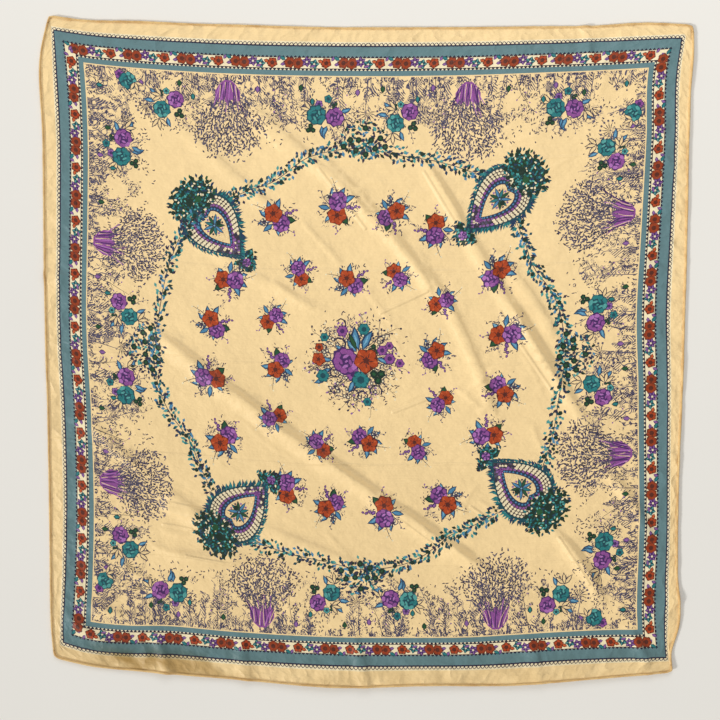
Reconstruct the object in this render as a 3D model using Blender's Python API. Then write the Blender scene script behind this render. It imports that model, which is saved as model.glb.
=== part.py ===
# A square silk scarf laid out flat, printed side up: one square of thin cloth with a
# hand-rolled hem along each of its four edges. The scarf lies in the XY plane with its
# underside on Z = 0, its upper edge towards +Y and its printed face towards +Z.
#
# Every size below is in millimetres and is turned into metres when a mesh is made.

import bpy
import numpy as np

MM = 0.001

# Driving dimensions
CLOTH_WALL = 1.2  # thickness of the cloth's wall
HEM_DIAMETER = 2.4  # the rolled edge, which stands a little proud of the cloth
SEAM_GAP = 0.3  # clearance between the cloth and a hem, and between two hems
FLAT_SIDE = 790.0  # side of the finished square, over the hems, before it is laid out
CELLS = 60  # quads along each side of the cloth
HEM_SIDES = 6  # faces round a rolled hem, one of them flat on the ground
FOLD_TAPER = 0.16  # share of a fold's length over which it rises and dies away
FOLD_END = 0.35  # share of its height that a fold keeps at its two ends

# The corners of the laid-out square, over the hems. It lies a little out of square, as
# light silk does when it is spread by hand.
CORNERS = {
    "upper_left": (-380.4, 403.1),
    "upper_right": (391.6, 391.6),
    "lower_right": (366.1, -383.9),
    "lower_left": (-374.4, -366.9),
}

# How far each edge stands outside the straight line between its two corners, read from
# left to right and from top to bottom. Columns: share of the edge's length, bow.
EDGE_BOWS = {
    "upper": (
        (0.00, 0.0), (0.04, -4.0), (0.14, -5.5), (0.30, -8.0), (0.47, -9.0),
        (0.67, -6.0), (0.84, -3.0), (0.94, 2.0), (1.00, 0.0),
    ),
    "lower": (
        (0.00, 0.0), (0.06, 9.0), (0.14, 14.0), (0.30, 21.0), (0.48, 28.0),
        (0.60, 23.0), (0.75, 20.0), (0.86, 12.0), (0.92, 7.0), (1.00, 0.0),
    ),
    "left": (
        (0.00, 0.0), (0.05, 9.5), (0.20, 9.0), (0.45, 8.0), (0.62, 6.0),
        (0.75, 4.5), (0.90, 4.0), (0.96, 3.0), (1.00, 0.0),
    ),
    "right": (
        (0.00, 0.0), (0.03, 1.5), (0.10, 0.0), (0.33, 1.4), (0.53, 2.0),
        (0.73, 0.8), (0.84, 2.5), (0.93, 7.0), (0.975, -2.0), (1.00, 0.0),
    ),
}

# The largest folds: soft ridges that the cloth makes where it isn't stretched out.
# Columns: name, start, bend and end in the plane, height, half width.
FOLDS = (
    ("long_upper_right", (74, 222), (180, 44), (268, -90), 5.0, 17),
    ("long_lower_left", (-262, 32), (-84, -106), (184, -288), 6.0, 19),
    ("upper_centre", (-146, 300), (-4, 172), (92, 66), 4.5, 18),
    ("short_centre", (-58, 238), (34, 140), (84, 58), 3.6, 14),
    ("centre_right", (88, 76), (126, 0), (156, -82), 4.2, 17),
    ("upper_left", (-214, 262), (-160, 214), (-112, 172), 3.2, 17),
    ("left_of_centre", (-196, 132), (-120, 84), (-52, 52), 2.8, 17),
    ("right_of_centre", (150, 124), (196, 70), (232, 8), 2.8, 15),
    ("lower_left", (-328, -86), (-300, -114), (-268, -142), 4.0, 15),
    ("lower_right", (226, -214), (258, -256), (284, -298), 4.6, 15),
    ("right_border", (290, -142), (322, -184), (342, -222), 4.0, 14),
    ("left_swell", (-244, -168), (-216, -184), (-186, -214), 5.0, 24),
    ("lower_swell", (-238, -240), (-190, -246), (-140, -242), 5.0, 22),
    ("lower_ridge", (-130, -210), (-40, -244), (40, -282), 3.4, 18),
    ("lower_border", (-330, -300), (-290, -316), (-246, -318), 4.5, 17),
    ("corner_crease", (-356, -316), (-320, -344), (-282, -352), 3.6, 13),
    ("hem_wave_a", (-250, -338), (-242, -364), (-236, -392), 3.6, 16),
    ("hem_wave_b", (-150, -346), (-144, -372), (-140, -398), 3.2, 17),
    ("hem_wave_c", (-10, -352), (-4, -378), (2, -404), 3.2, 18),
    ("hem_wave_d", (196, -344), (204, -368), (210, -396), 3.0, 17),
    ("hem_wave_e", (318, -336), (330, -356), (340, -382), 4.2, 15),
    ("upper_hem_wave", (262, 400), (266, 376), (268, 350), 2.6, 14),
    ("right_hem_wave", (388, -292), (372, -300), (352, -304), 3.6, 15),
    ("left_hem_wave", (-392, 96), (-376, 92), (-356, 92), 2.6, 14),
)

CLOTH_COLOUR = (0.92, 0.73, 0.39, 1.0)
HEM_COLOUR = (0.72, 0.48, 0.20, 1.0)


def clear_scene():
    for obj in list(bpy.data.objects):
        bpy.data.objects.remove(obj)


def make_material(name, colour, roughness):
    material = bpy.data.materials.new(name)
    material.use_nodes = True
    shader = material.node_tree.nodes["Principled BSDF"]
    shader.inputs["Base Color"].default_value = colour
    shader.inputs["Roughness"].default_value = roughness
    shader.inputs["Metallic"].default_value = 0.0
    return material


def bow_at(edge, share):
    """The edge's bow at this share of its length, on a smooth curve through its rows."""
    shares, bows = np.array(EDGE_BOWS[edge]).T
    slopes = np.gradient(bows, shares)
    row = np.clip(np.searchsorted(shares, share) - 1, 0, len(shares) - 2)
    width = shares[row + 1] - shares[row]
    t = (share - shares[row]) / width
    rise = t * t * (3 - 2 * t)
    start_slope = width * slopes[row] * t * (1 - t) ** 2
    end_slope = width * slopes[row + 1] * t * t * (t - 1)
    return bows[row] * (1 - rise) + bows[row + 1] * rise + start_slope + end_slope


def edge_point(edge, share):
    """A point of the outline, over the hem. share runs left to right or top to bottom."""
    first, last, outward = {
        "upper": ("upper_left", "upper_right", (0, 1)),
        "lower": ("lower_left", "lower_right", (0, -1)),
        "left": ("upper_left", "lower_left", (-1, 0)),
        "right": ("upper_right", "lower_right", (1, 0)),
    }[edge]
    first, last = np.array(CORNERS[first]), np.array(CORNERS[last])
    return first + (last - first) * share + np.array(outward) * bow_at(edge, share)


def spread_point(across, down):
    """Where a point of the flat square lies once it is laid out: a patch stretched
    between the four edges. across and down are shares, from the upper left corner."""
    between_sides = (1 - across) * edge_point("left", down)
    between_sides = between_sides + across * edge_point("right", down)
    between_ends = (1 - down) * edge_point("upper", across)
    between_ends = between_ends + down * edge_point("lower", across)
    upper = (1 - across) * np.array(CORNERS["upper_left"])
    upper = upper + across * np.array(CORNERS["upper_right"])
    lower = (1 - across) * np.array(CORNERS["lower_left"])
    lower = lower + across * np.array(CORNERS["lower_right"])
    return between_sides + between_ends - (1 - down) * upper - down * lower


def fold_line(start, bend, end, steps=24):
    """The crest of a fold: a curve from start to end that passes through bend."""
    start, bend, end = np.array(start), np.array(bend), np.array(end)
    pull = 2 * bend - (start + end) / 2
    t = np.linspace(0, 1, steps + 1)[:, None]
    return (1 - t) ** 2 * start + 2 * t * (1 - t) * pull + t**2 * end


FOLD_LINES = {name: fold_line(*route) for name, *route, _, _ in FOLDS}


def fold_height(point):
    """How far the folds lift the cloth off the ground at this point of the plane."""
    height = 0.0
    for name, _, _, _, fold_rise, half_width in FOLDS:
        line = FOLD_LINES[name]
        starts, runs = line[:-1], np.diff(line, axis=0)
        along = ((point - starts) * runs).sum(1) / (runs * runs).sum(1)
        along = np.clip(along, 0, 1)
        gaps = np.linalg.norm(starts + runs * along[:, None] - point, axis=1)
        nearest = int(gaps.argmin())
        if gaps[nearest] >= half_width:
            continue
        share = (nearest + along[nearest]) / len(runs)
        taper = min(1.0, min(share, 1 - share) / FOLD_TAPER)
        crest = 0.5 + 0.5 * np.cos(np.pi * gaps[nearest] / half_width)
        height = max(height, fold_rise * crest * (FOLD_END + (1 - FOLD_END) * taper))
    return height


def new_object(name, points, faces, material):
    mesh = bpy.data.meshes.new(name)
    mesh.from_pydata([tuple(point * MM) for point in points], [], faces)
    mesh.materials.append(material)
    mesh.validate()
    obj = bpy.data.objects.new(name, mesh)
    bpy.context.scene.collection.objects.link(obj)
    return obj


def build_cloth(material):
    """The square of cloth: a wall of even thickness that follows the folds."""
    inset = (HEM_DIAMETER + SEAM_GAP) / FLAT_SIDE
    shares = np.linspace(inset, 1 - inset, CELLS + 1)
    under, over = [], []
    for down in shares:
        for across in shares:
            plan = spread_point(across, down)
            lift = fold_height(plan)
            under.append(np.array((*plan, lift)))
            over.append(np.array((*plan, lift + CLOTH_WALL)))
    row = CELLS + 1
    top = len(under)
    faces = []
    for j in range(CELLS):
        for i in range(CELLS):
            a = j * row + i
            quad = (a, a + row, a + row + 1, a + 1)
            faces.append(tuple(top + corner for corner in quad))
            faces.append(quad[::-1])
    rim = [i for i in range(row)]
    rim += [j * row + CELLS for j in range(1, row)]
    rim += [CELLS * row + i for i in range(CELLS - 1, -1, -1)]
    rim += [j * row for j in range(CELLS - 1, 0, -1)]
    for here, there in zip(rim, rim[1:] + rim[:1]):
        faces.append((here, top + here, top + there, there))
    return new_object("cloth_square", under + over, faces, material)


def build_hem(name, edge, material):
    """A rolled edge: a round roll that runs along one edge of the square. The upper
    and lower hems turn the corners, and the side hems fit between them."""
    radius = HEM_DIAMETER / 2
    middle = radius / FLAT_SIDE
    level = edge in ("upper", "lower")
    clear = 0 if level else (HEM_DIAMETER + SEAM_GAP) / FLAT_SIDE
    shares = np.linspace(clear, 1 - clear, CELLS + 1)
    across_edge = {"upper": middle, "lower": 1 - middle, "left": middle, "right": 1 - middle}
    spine = []
    for share in shares:
        place = across_edge[edge]
        plan = spread_point(share, place) if level else spread_point(place, share)
        spine.append(np.array((*plan, radius + fold_height(plan))))
    spine = np.array(spine)
    runs = np.gradient(spine[:, :2], axis=0)
    runs /= np.linalg.norm(runs, axis=1)[:, None]
    sides = np.column_stack((runs[:, 1], -runs[:, 0], np.zeros(len(runs))))
    up = np.array((0.0, 0.0, 1.0))
    # Stretched upwards until its highest and lowest faces are a full diameter apart.
    stretch = 1 / np.cos(np.pi / HEM_SIDES)
    points = []
    for place, side in zip(spine, sides):
        for angle in 2 * np.pi / HEM_SIDES * np.arange(HEM_SIDES):
            out, lift = np.cos(angle), np.sin(angle) * stretch
            points.append(place + radius * (out * side + lift * up))
    faces = [tuple(range(HEM_SIDES))]
    for step in range(CELLS):
        for i in range(HEM_SIDES):
            a = step * HEM_SIDES + i
            b = step * HEM_SIDES + (i + 1) % HEM_SIDES
            faces.append((a, a + HEM_SIDES, b + HEM_SIDES, b))
    faces.append(tuple(reversed(range(CELLS * HEM_SIDES, (CELLS + 1) * HEM_SIDES))))
    return new_object(name, points, faces, material)


clear_scene()
cloth = make_material("printed_silk", CLOTH_COLOUR, 0.55)
hem = make_material("rolled_silk_hem", HEM_COLOUR, 0.6)
build_cloth(cloth)
for side_name in EDGE_BOWS:
    build_hem(f"rolled_hem_{side_name}", side_name, hem)
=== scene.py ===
import cmath
import math
import random

import bpy
import numpy as np
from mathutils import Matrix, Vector
from mathutils.geometry import delaunay_2d_cdt


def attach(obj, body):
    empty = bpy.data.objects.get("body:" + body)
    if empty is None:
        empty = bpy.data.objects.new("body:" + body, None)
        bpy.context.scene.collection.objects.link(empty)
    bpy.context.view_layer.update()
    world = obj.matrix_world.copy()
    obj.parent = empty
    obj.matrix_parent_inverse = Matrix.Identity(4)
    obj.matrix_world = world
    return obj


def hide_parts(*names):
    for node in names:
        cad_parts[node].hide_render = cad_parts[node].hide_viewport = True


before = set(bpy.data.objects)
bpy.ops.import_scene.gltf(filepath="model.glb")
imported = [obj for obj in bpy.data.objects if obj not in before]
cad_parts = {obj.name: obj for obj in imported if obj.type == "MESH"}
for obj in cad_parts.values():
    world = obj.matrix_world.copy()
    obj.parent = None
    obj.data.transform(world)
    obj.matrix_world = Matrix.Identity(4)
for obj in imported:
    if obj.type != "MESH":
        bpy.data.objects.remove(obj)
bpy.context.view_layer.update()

mm = 0.001  # every size below is in millimetres
draws = random.Random(11)
anyTurn = (0.0, 6.3)  # radians, once round
print("frame loaded, with", len(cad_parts), "solids")

clothForm = {
    "flatSide": 790.0,
    "hemRadius": 1.2,
    "wall": 0.5,
    "clear": 0.1,  # under the cloth, where it only just touches
    "underShare": 0.84,  # the underside bends less sharply than the printed side,
    "underDrop": 0.25,  # and stays flat under the lowest folds
    "cornerRadius": 8.0,
    "cornerSteps": 6,
    "rimSteps": 89,  # along each side
    # The step of each side's mesh, and the shares of a fold's half width where it can bend.
    "frontMesh": (13.0, (0, 0.5, 1, -0.5, -1)),
    "backMesh": (19.0, (0, 1, -1)),
    "sameSpot": 0.001,  # points nearer than this become one
    "slip": -9.6 - 6.6j,  # how far the middle of the cloth was pulled over as it was laid
}
clothEdge = {  # the laid cloth: corners, then each edge's bow outwards at shares of its length
    "half": 395.0,
    "upperLeft": -380.4 + 403.1j, "upperRight": 391.6 + 391.6j,
    "lowerRight": 366.1 - 383.9j, "lowerLeft": -374.4 - 366.9j,
    "upper": ((0, 0), (0.04, -4), (0.14, -5.5), (0.30, -8), (0.47, -9), (0.67, -6),
              (0.84, -3), (0.94, 2), (1, 0)),
    "lower": ((0, 0), (0.06, 9), (0.14, 14), (0.30, 21), (0.48, 28), (0.60, 23),
              (0.75, 20), (0.86, 12), (0.92, 7), (1, 0)),
    "left": ((0, 0), (0.05, 9.5), (0.20, 9), (0.45, 8), (0.62, 6), (0.75, 4.5),
             (0.90, 4), (0.96, 3), (1, 0)),
    "right": ((0, 0), (0.03, 1.5), (0.10, 0), (0.33, 1.4), (0.53, 2), (0.73, 0.8),
              (0.84, 2.5), (0.93, 7), (0.975, -2), (1, 0)),
}
bandEdge = {  # the same for the printed frame's outer edge, which was pulled more out of true
    "half": 370.0,
    "upperLeft": -377.1 + 385.9j, "upperRight": 380.3 + 376.5j,
    "lowerRight": 360.9 - 366.8j, "lowerLeft": -365.1 - 347.4j,
    "upper": ((0, 0), (0.05, -5.5), (0.17, -12.2), (0.30, -15.8), (0.46, -16.4),
              (0.62, -14.5), (0.78, -9.8), (0.92, -4.4), (1, 0)),
    "lower": ((0, 0), (0.03, 6.7), (0.10, 11.6), (0.16, 10.8), (0.29, 15.8), (0.45, 18.8),
              (0.58, 17.2), (0.69, 14.2), (0.78, 8.5), (0.90, 2.2), (1, 0)),
    "left": ((0, 0), (0.05, -4), (0.18, -8.4), (0.31, -6.8), (0.49, -4.5), (0.60, -8),
             (0.75, -9.7), (0.88, -6.4), (1, 0)),
    "right": ((0, 0), (0.04, -6), (0.16, -7), (0.30, -9.8), (0.45, -12.8), (0.56, -8.8),
              (0.70, -5.6), (0.80, -3.8), (0.94, -4.4), (1, 0)),
}
edgeEnds = {  # each edge's two corners, and the way out of the cloth
    "upper": ("upperLeft", "upperRight", 1j), "lower": ("lowerLeft", "lowerRight", -1j),
    "left": ("upperLeft", "lowerLeft", -1), "right": ("upperRight", "lowerRight", 1),
}


def edgePlace(form, name, share):
    first, last, outwards = edgeEnds[name]
    shares, bows = np.array(form[name], float).T
    slopes = np.gradient(bows, shares)
    row = np.clip(np.searchsorted(shares, share) - 1, 0, len(shares) - 2)
    wide = shares[row + 1] - shares[row]
    t = (share - shares[row]) / wide
    rise = t * t * (3 - 2 * t)
    bow = bows[row] * (1 - rise) + bows[row + 1] * rise
    bow += wide * t * (1 - t) * (slopes[row] * (1 - t) - slopes[row + 1] * t)
    return form[first] * (1 - share) + form[last] * share + outwards * bow


def patchPlace(form, flat):  # a flat square stretched between its four bowed edges
    across = (flat.real + form["half"]) / (2 * form["half"])
    down = (form["half"] - flat.imag) / (2 * form["half"])
    sides = edgePlace(form, "left", down) * (1 - across) + edgePlace(form, "right", down) * across
    ends = edgePlace(form, "upper", across) * (1 - down) + edgePlace(form, "lower", across) * down
    upper = form["upperLeft"] * (1 - across) + form["upperRight"] * across
    lower = form["lowerLeft"] * (1 - across) + form["lowerRight"] * across
    return sides + ends - upper * (1 - down) - lower * down


def layOut(flat):  # where a place on the flat cloth comes to lie
    flat = np.asarray(flat, complex)
    inner, outer = bandEdge["half"], clothEdge["half"]
    reach = np.maximum(np.abs(flat.real), np.abs(flat.imag))
    inside = flat * np.minimum(inner / np.maximum(reach, inner), 1)
    slack = (1 - (inside.real / inner) ** 2) * (1 - (inside.imag / inner) ** 2)
    framed = patchPlace(bandEdge, inside) + clothForm["slip"] * slack
    margin = np.clip((reach - inner) / (outer - inner), 0, 1)
    edged = patchPlace(clothEdge, flat * outer / np.maximum(reach, inner))
    return framed * (1 - margin) + edged * margin


foldForm = {
    "taper": 0.16,  # share of a fold's length over which each end runs out
    "end": 0.35,  # height left at its ends
    "gridStep": 1.5,
    "lean": 0.45,  # how much narrower a fold is on its steep side, to the right of the page
    "merge": 4,  # how sharply a fold gives way to a higher one that it meets
    "creasePeak": 1.6,  # how sharp the finer ones are along the top
    "rowStep": 9.0,  # between the places along a fold where the cloth can bend
    "sway": 0.45,  # the slow rise and fall of loose silk between the folds
    "swayWaves": 9,
    "swayLengths": (70, 190),
    "lift": 3.0,  # how far the lower edge curls up
    "liftFrom": 358.0,  # below the middle of the cloth
    "liftWidth": 40.0,
    "liftRipple": (0.35, 31.0, 83.0),  # share, then how long its two waves are
    "pressWander": (3.0, 90.0),  # how far the press lines stray, and over what length
    "folds": (  # start, bend, end, height, half width
        (74 + 222j, 180 + 44j, 268 - 90j, 5.0, 17), (-262 + 32j, -84 - 106j, 184 - 288j, 6.0, 19),
        (-146 + 300j, -4 + 172j, 92 + 66j, 4.5, 18), (-58 + 238j, 34 + 140j, 84 + 58j, 3.6, 14),
        (88 + 76j, 126 + 0j, 156 - 82j, 4.2, 17), (-214 + 262j, -160 + 214j, -112 + 172j, 3.2, 17),
        (-196 + 132j, -120 + 84j, -52 + 52j, 2.8, 17), (150 + 124j, 196 + 70j, 232 + 8j, 2.8, 15),
        (-328 - 86j, -300 - 114j, -268 - 142j, 4.0, 15), (226 - 214j, 258 - 256j, 284 - 298j, 4.6, 15),
        (290 - 142j, 322 - 184j, 342 - 222j, 4.0, 14), (-244 - 168j, -216 - 184j, -186 - 214j, 5.0, 24),
        (-238 - 240j, -190 - 246j, -140 - 242j, 5.0, 22), (-130 - 210j, -40 - 244j, 40 - 282j, 3.4, 18),
        (-330 - 300j, -290 - 316j, -246 - 318j, 4.5, 17), (-356 - 316j, -320 - 344j, -282 - 352j, 3.6, 13),
        (-250 - 338j, -242 - 364j, -236 - 392j, 3.6, 16), (-150 - 346j, -144 - 372j, -140 - 398j, 3.2, 17),
        (-10 - 352j, -4 - 378j, 2 - 404j, 3.2, 18), (196 - 344j, 204 - 368j, 210 - 396j, 3.0, 17),
        (318 - 336j, 330 - 356j, 340 - 382j, 4.2, 15), (262 + 400j, 266 + 376j, 268 + 350j, 2.6, 14),
        (388 - 292j, 372 - 300j, 352 - 304j, 2.2, 15), (-392 + 96j, -376 + 92j, -356 + 92j, 2.6, 14),
    ),
    "creases": (  # finer ones, given in the same way
        (-125 + 268j, -106 + 250j, -85 + 229j, 1.6, 8),
        (-53 + 227j, -22 + 194j, 7 + 158j, 2.0, 11), (-80 + 161j, -53 + 131j, -25 + 101j, 1.8, 8),
        (-113 + 88j, -89 + 68j, -53 + 46j, 1.8, 9), (-241 + 16j, -219 + 3j, -194 - 15j, 1.6, 9),
        (-166 - 39j, -130 - 68j, -87 - 106j, 1.8, 9), (-53 - 121j, -22 - 147j, 23 - 171j, 1.8, 9),
        (35 - 182j, 59 - 200j, 86 - 221j, 2.2, 8), (103 - 232j, 115 - 241j, 129 - 253j, 1.8, 8),
        (74 + 224j, 94 + 194j, 117 + 159j, 2.0, 9), (134 + 134j, 145 + 115j, 160 + 91j, 1.8, 8),
        (175 + 55j, 197 + 19j, 236 - 46j, 2.0, 9), (62 + 122j, 79 + 93j, 98 + 61j, 1.6, 8),
        (31 + 139j, 45 + 117j, 76 + 81j, 1.3, 8), (31 + 58j, 55 + 69j, 86 + 83j, 1.4, 5),
        (-3 + 79j, 19 + 50j, 47 + 11j, 1.4, 8), (43 - 61j, 59 - 53j, 86 - 45j, 1.5, 5),
        (98 - 39j, 122 - 53j, 151 - 85j, 1.7, 7), (115 - 50j, 134 - 37j, 155 - 17j, 1.2, 6),
        (115 - 202j, 119 - 178j, 134 - 157j, 1.2, 6), (134 - 177j, 145 - 185j, 158 - 195j, 1.2, 5),
        (239 - 221j, 256 - 245j, 277 - 279j, 2.4, 9), (172 + 56j, 196 + 49j, 223 + 44j, 1.0, 5),
        (165 + 242j, 184 + 254j, 213 + 263j, 1.2, 6), (218 + 215j, 230 + 225j, 247 + 232j, 1.0, 6),
        (-218 - 248j, -190 - 251j, -159 - 254j, 1.3, 5),
        (-244 - 184j, -221 - 194j, -197 - 189j, 2.2, 7),
        (-248 - 212j, -229 - 218j, -212 - 215j, 2.0, 6),
        (-260 - 227j, -238 - 239j, -214 - 242j, 1.8, 6),
        (-50 - 214j, -34 - 231j, -17 - 247j, 1.2, 6),
        (-145 - 82j, -123 - 106j, -82 - 130j, 1.0, 7),
        (-133 - 80j, -109 - 106j, -80 - 118j, 0.9, 6), (64 + 100j, 74 + 81j, 79 + 67j, 0.9, 5),
        (187 - 1j, 201 - 25j, 213 - 53j, 1.0, 7), (199 - 87j, 206 - 106j, 215 - 125j, 1.2, 7),
        (16 + 40j, 31 + 19j, 43 + 2j, 1.0, 6), (-205 + 62j, -183 + 67j, -157 + 62j, 0.6, 6),
        (-99 - 1j, -80 - 13j, -58 - 13j, 0.7, 6),
        (282 + 372j, 286 + 340j, 280 + 300j, 1.0, 9), (-300 - 250j, -262 - 276j, -236 - 300j, 1.6, 12),
        (-96 - 300j, -70 - 316j, -20 - 322j, 1.4, 12), (140 - 306j, 180 - 318j, 226 - 316j, 1.2, 11),
        (300 - 300j, 318 - 318j, 342 - 326j, 1.4, 10), (-352 + 250j, -340 + 226j, -336 + 196j, 1.0, 9),
        (330 + 60j, 348 + 36j, 356 + 4j, 1.0, 9), (-360 + 330j, -330 + 344j, -296 + 346j, 0.9, 10),
        (-8 - 330j, -12 - 356j, -9 - 388j, 1.0, 8), (-340 - 170j, -352 - 196j, -368 - 214j, 1.2, 10),
        (-350 + 10j, -364 - 4j, -384 - 8j, 1.0, 9), (352 + 232j, 368 + 222j, 388 + 224j, 1.0, 9),
        (344 - 60j, 360 - 66j, 380 - 64j, 1.0, 9), (-210 + 380j, -206 + 366j, -200 + 352j, 0.8, 8),
        (36 + 380j, 40 + 364j, 38 + 346j, 0.8, 8), (-100 + 372j, -96 + 386j, -90 + 392j, 0.7, 7),
    ),
    "pressLines": (  # level across the cloth, from where it lay folded: middle, rise, half width
        (236, 0.25, 4), (108, 0.35, 4), (-6, 0.3, 4), (-125, 0.4, 5), (-250, 0.3, 5),
    ),
}


def foldPath(start, bend, end, steps=24):
    pull = 2 * bend - (start + end) / 2
    t = np.linspace(0, 1, steps + 1)
    return (1 - t) ** 2 * start + 2 * t * (1 - t) * pull + t**2 * end


class Relief:  # the height of the cloth over the ground it lies on
    def __init__(self, form):
        self.form, self.step = form, form["gridStep"]
        corners = [clothEdge[name] for name in ("upperLeft", "upperRight", "lowerRight", "lowerLeft")]
        reach = 30 + max(max(abs(c.real), abs(c.imag)) for c in corners)
        self.low = -reach * (1 + 1j)
        line = np.arange(-reach, reach + self.step, self.step)
        self.plan = line[None, :] + 1j * line[:, None]
        big, fine, sway = (np.zeros(self.plan.shape) for _ in range(3))
        for fold in form["folds"]:
            self.raiseFold(big, *fold, isFold=True)
        for crease in form["creases"]:
            self.raiseFold(fine, *crease, isFold=False)
        stray, length = form["pressWander"]
        for middle, rise, half in form["pressLines"]:
            wander = middle + stray * np.sin(line / length + middle)[None, :]
            fine += rise * np.exp(-(((self.plan.imag - wander) / half) ** 2))
        for _ in range(form["swayWaves"]):
            length = draws.uniform(*form["swayLengths"])
            way = cmath.rect(2 * math.pi / length, draws.uniform(0, math.pi))
            sway += np.sin((self.plan * np.conj(way)).real + draws.uniform(*anyTurn))
        self.height = big ** (1 / form["merge"]) + fine + form["sway"] * (sway - sway.min()) / 4
        curl = np.clip((-self.plan.imag - form["liftFrom"]) / form["liftWidth"], 0, 1)
        share, short, long = form["liftRipple"]
        ripple = 1 + share * np.sin(self.plan.real / short) * np.sin(self.plan.real / long)
        self.height += form["lift"] * curl * curl * ripple
        for _ in range(2):  # soften the sharpest bends
            for axis in (0, 1):
                after, before = np.roll(self.height, 1, axis), np.roll(self.height, -1, axis)
                self.height = 0.5 * self.height + 0.25 * (after + before)
        self.slopeY, self.slopeX = np.gradient(self.height, self.step)

    def raiseFold(self, field, start, bend, end, rise, half, isFold):
        path = foldPath(start, bend, end)
        spots = [(path.real.min() - half, path.real.max() + half),
                 (path.imag.min() - half, path.imag.max() + half)]
        columns, rows = (slice(*(int((s - low) / self.step) + 1 for s in span))
                         for span, low in zip(spots, (self.low.real, self.low.imag)))
        plan = self.plan[rows, columns]
        nearest = np.full(plan.shape, half, float)
        share = np.zeros(plan.shape)
        for i, (a, b) in enumerate(zip(path, path[1:])):
            local = (plan - a) / (b - a)
            t = np.clip(local.real, 0, 1)
            narrow = np.where(local.imag > 0, self.form["lean"], 1)
            gap = np.abs(local - t) * abs(b - a) / narrow
            closer = gap < nearest
            nearest = np.where(closer, gap, nearest)
            share = np.where(closer, (i + t) / (len(path) - 1), share)
        crest = 0.5 + 0.5 * np.cos(np.pi * nearest / half)
        least = self.form["end"] if isFold else 0
        fromEnd = np.minimum(share, 1 - share) / self.form["taper"]
        taper = least + (1 - least) * np.minimum(1, fromEnd)
        if isFold:
            field[rows, columns] += (rise * crest * taper) ** self.form["merge"]
        else:
            field[rows, columns] += rise * crest ** self.form["creasePeak"] * taper

    def at(self, plan, *fields):  # each field, read between the grid's points
        u = (plan - self.low) / self.step
        column, row = u.real.astype(int), u.imag.astype(int)
        s, t = u.real - column, u.imag - row
        read = []
        for field in fields:
            below = field[row, column] * (1 - s) + field[row, column + 1] * s
            above = field[row + 1, column] * (1 - s) + field[row + 1, column + 1] * s
            read.append(below * (1 - t) + above * t)
        return read

    def surface(self, flat):  # plan place, height and upward direction of a flat place
        plan = layOut(flat)
        height, x, y = self.at(plan, self.height, self.slopeX, self.slopeY)
        ways = np.column_stack((-x, -y, np.ones(len(x))))
        return plan, height, ways / np.linalg.norm(ways, axis=1)[:, None]


def flatPlace(plan):  # the way back from where the cloth lies to its flat place
    flat = np.array(plan)
    for _ in range(6):
        flat = flat + plan - layOut(flat)
    return flat


def foldRows(form, steps):  # flat places along each fold, for the cloth to bend at
    rows = []
    for kind in ("folds", "creases"):
        for start, bend, end, _, half in form[kind]:
            path = foldPath(start, bend, end, max(6, round(abs(end - start) / form["rowStep"])))
            across = np.gradient(path)
            across *= 1j * half / np.abs(across)
            for share in steps:
                rows.append(path + across * share * (form["lean"] if share > 0 else 1))
    return flatPlace(np.concatenate(rows))


relief = Relief(foldForm)
print("folds raised, up to", round(float(relief.height.max()), 1), "mm")

printForm = {  # the flat cloth's bands, from its middle out to the plain margin
    "field": 335.4,
    "narrowBand": 342.0,
    "innerTeeth": 344.9,
    "flowerStrip": 357.0,
    "outerTeeth": 359.4,
    "wideBand": 370.0,
    "ladder": 375.2,
    "toothPitch": 4.8,
    "ladderPitch": 5.0,
    "stripRepeats": 11,  # along each side
}
inkColours = {  # the printer's colours, as they look in plain daylight
    "ground": (248, 217, 160), "pale": (246, 230, 190), "band": (98, 130, 134),
    "line": (84, 78, 100), "ink": (48, 42, 66), "night": (28, 22, 48),
    "purpleDark": (72, 34, 98), "purple": (146, 78, 150), "purpleLight": (178, 112, 184),
    "lilac": (144, 98, 162), "tealDark": (14, 72, 84), "teal": (34, 124, 126),
    "tealLight": (84, 164, 158), "rustDark": (88, 30, 16), "rust": (178, 66, 12),
    "rustLight": (204, 92, 42), "brickDark": (92, 34, 12), "brick": (156, 58, 8),
    "greenDark": (16, 46, 32), "green": (32, 84, 46), "blueDark": (30, 56, 90),
    "blue": (78, 138, 174), "blueLight": (122, 178, 204),
    "umber": (70, 54, 54),
    "foliage": (14, 72, 84), "sketch": (246, 230, 190),  # these two are filled in by the material
}
inkNames = list(inkColours)
# Sets of inks for one flower or leaf: its dark edge, its fill and its lights.
purples, teals, rusts, blues = (
    (f"{name}Dark", name, f"{name}Light") for name in ("purple", "teal", "rust", "blue"))
greens, bricks, lilacs = ("greenDark", "green"), ("brickDark", "brick"), ("purpleDark", "lilac")
paintedShapes = []  # (outline as complex numbers, ink), each laid over those before it


class Pen:  # a place on the flat print, with its own turn, size and mirroring
    def __init__(self, at=0j, way=1 + 0j, mirrored=False):
        self.at, self.way, self.mirrored = at, way, mirrored

    def to(self, at=0j, turn=0.0, size=1.0, mirrored=False):
        at = complex(at)
        if self.mirrored:
            at, turn = at.conjugate(), -turn
        way = self.way * size * cmath.rect(1, math.radians(turn))
        return Pen(self.at + self.way * at, way, self.mirrored != mirrored)

    def draw(self, outline, ink):
        outline = np.conj(outline) if self.mirrored else np.asarray(outline)
        if np.sum(outline.conj() * np.roll(outline, -1)).imag < 0:  # keep it anticlockwise
            outline = outline[::-1]
        paintedShapes.append((self.at + self.way * outline, inkNames.index(ink)))


def polar(radius, degrees):
    return cmath.rect(radius, math.radians(degrees))


def quarters():  # the print repeats four times round its middle
    return [Pen().to(turn=-90 * i) for i in range(4)]


def oval(count, long, wide=None):
    turn = 2 * np.pi * (np.arange(count) + 0.5) / count
    return long * np.cos(turn) + 1j * (wide or long) * np.sin(turn)


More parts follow.
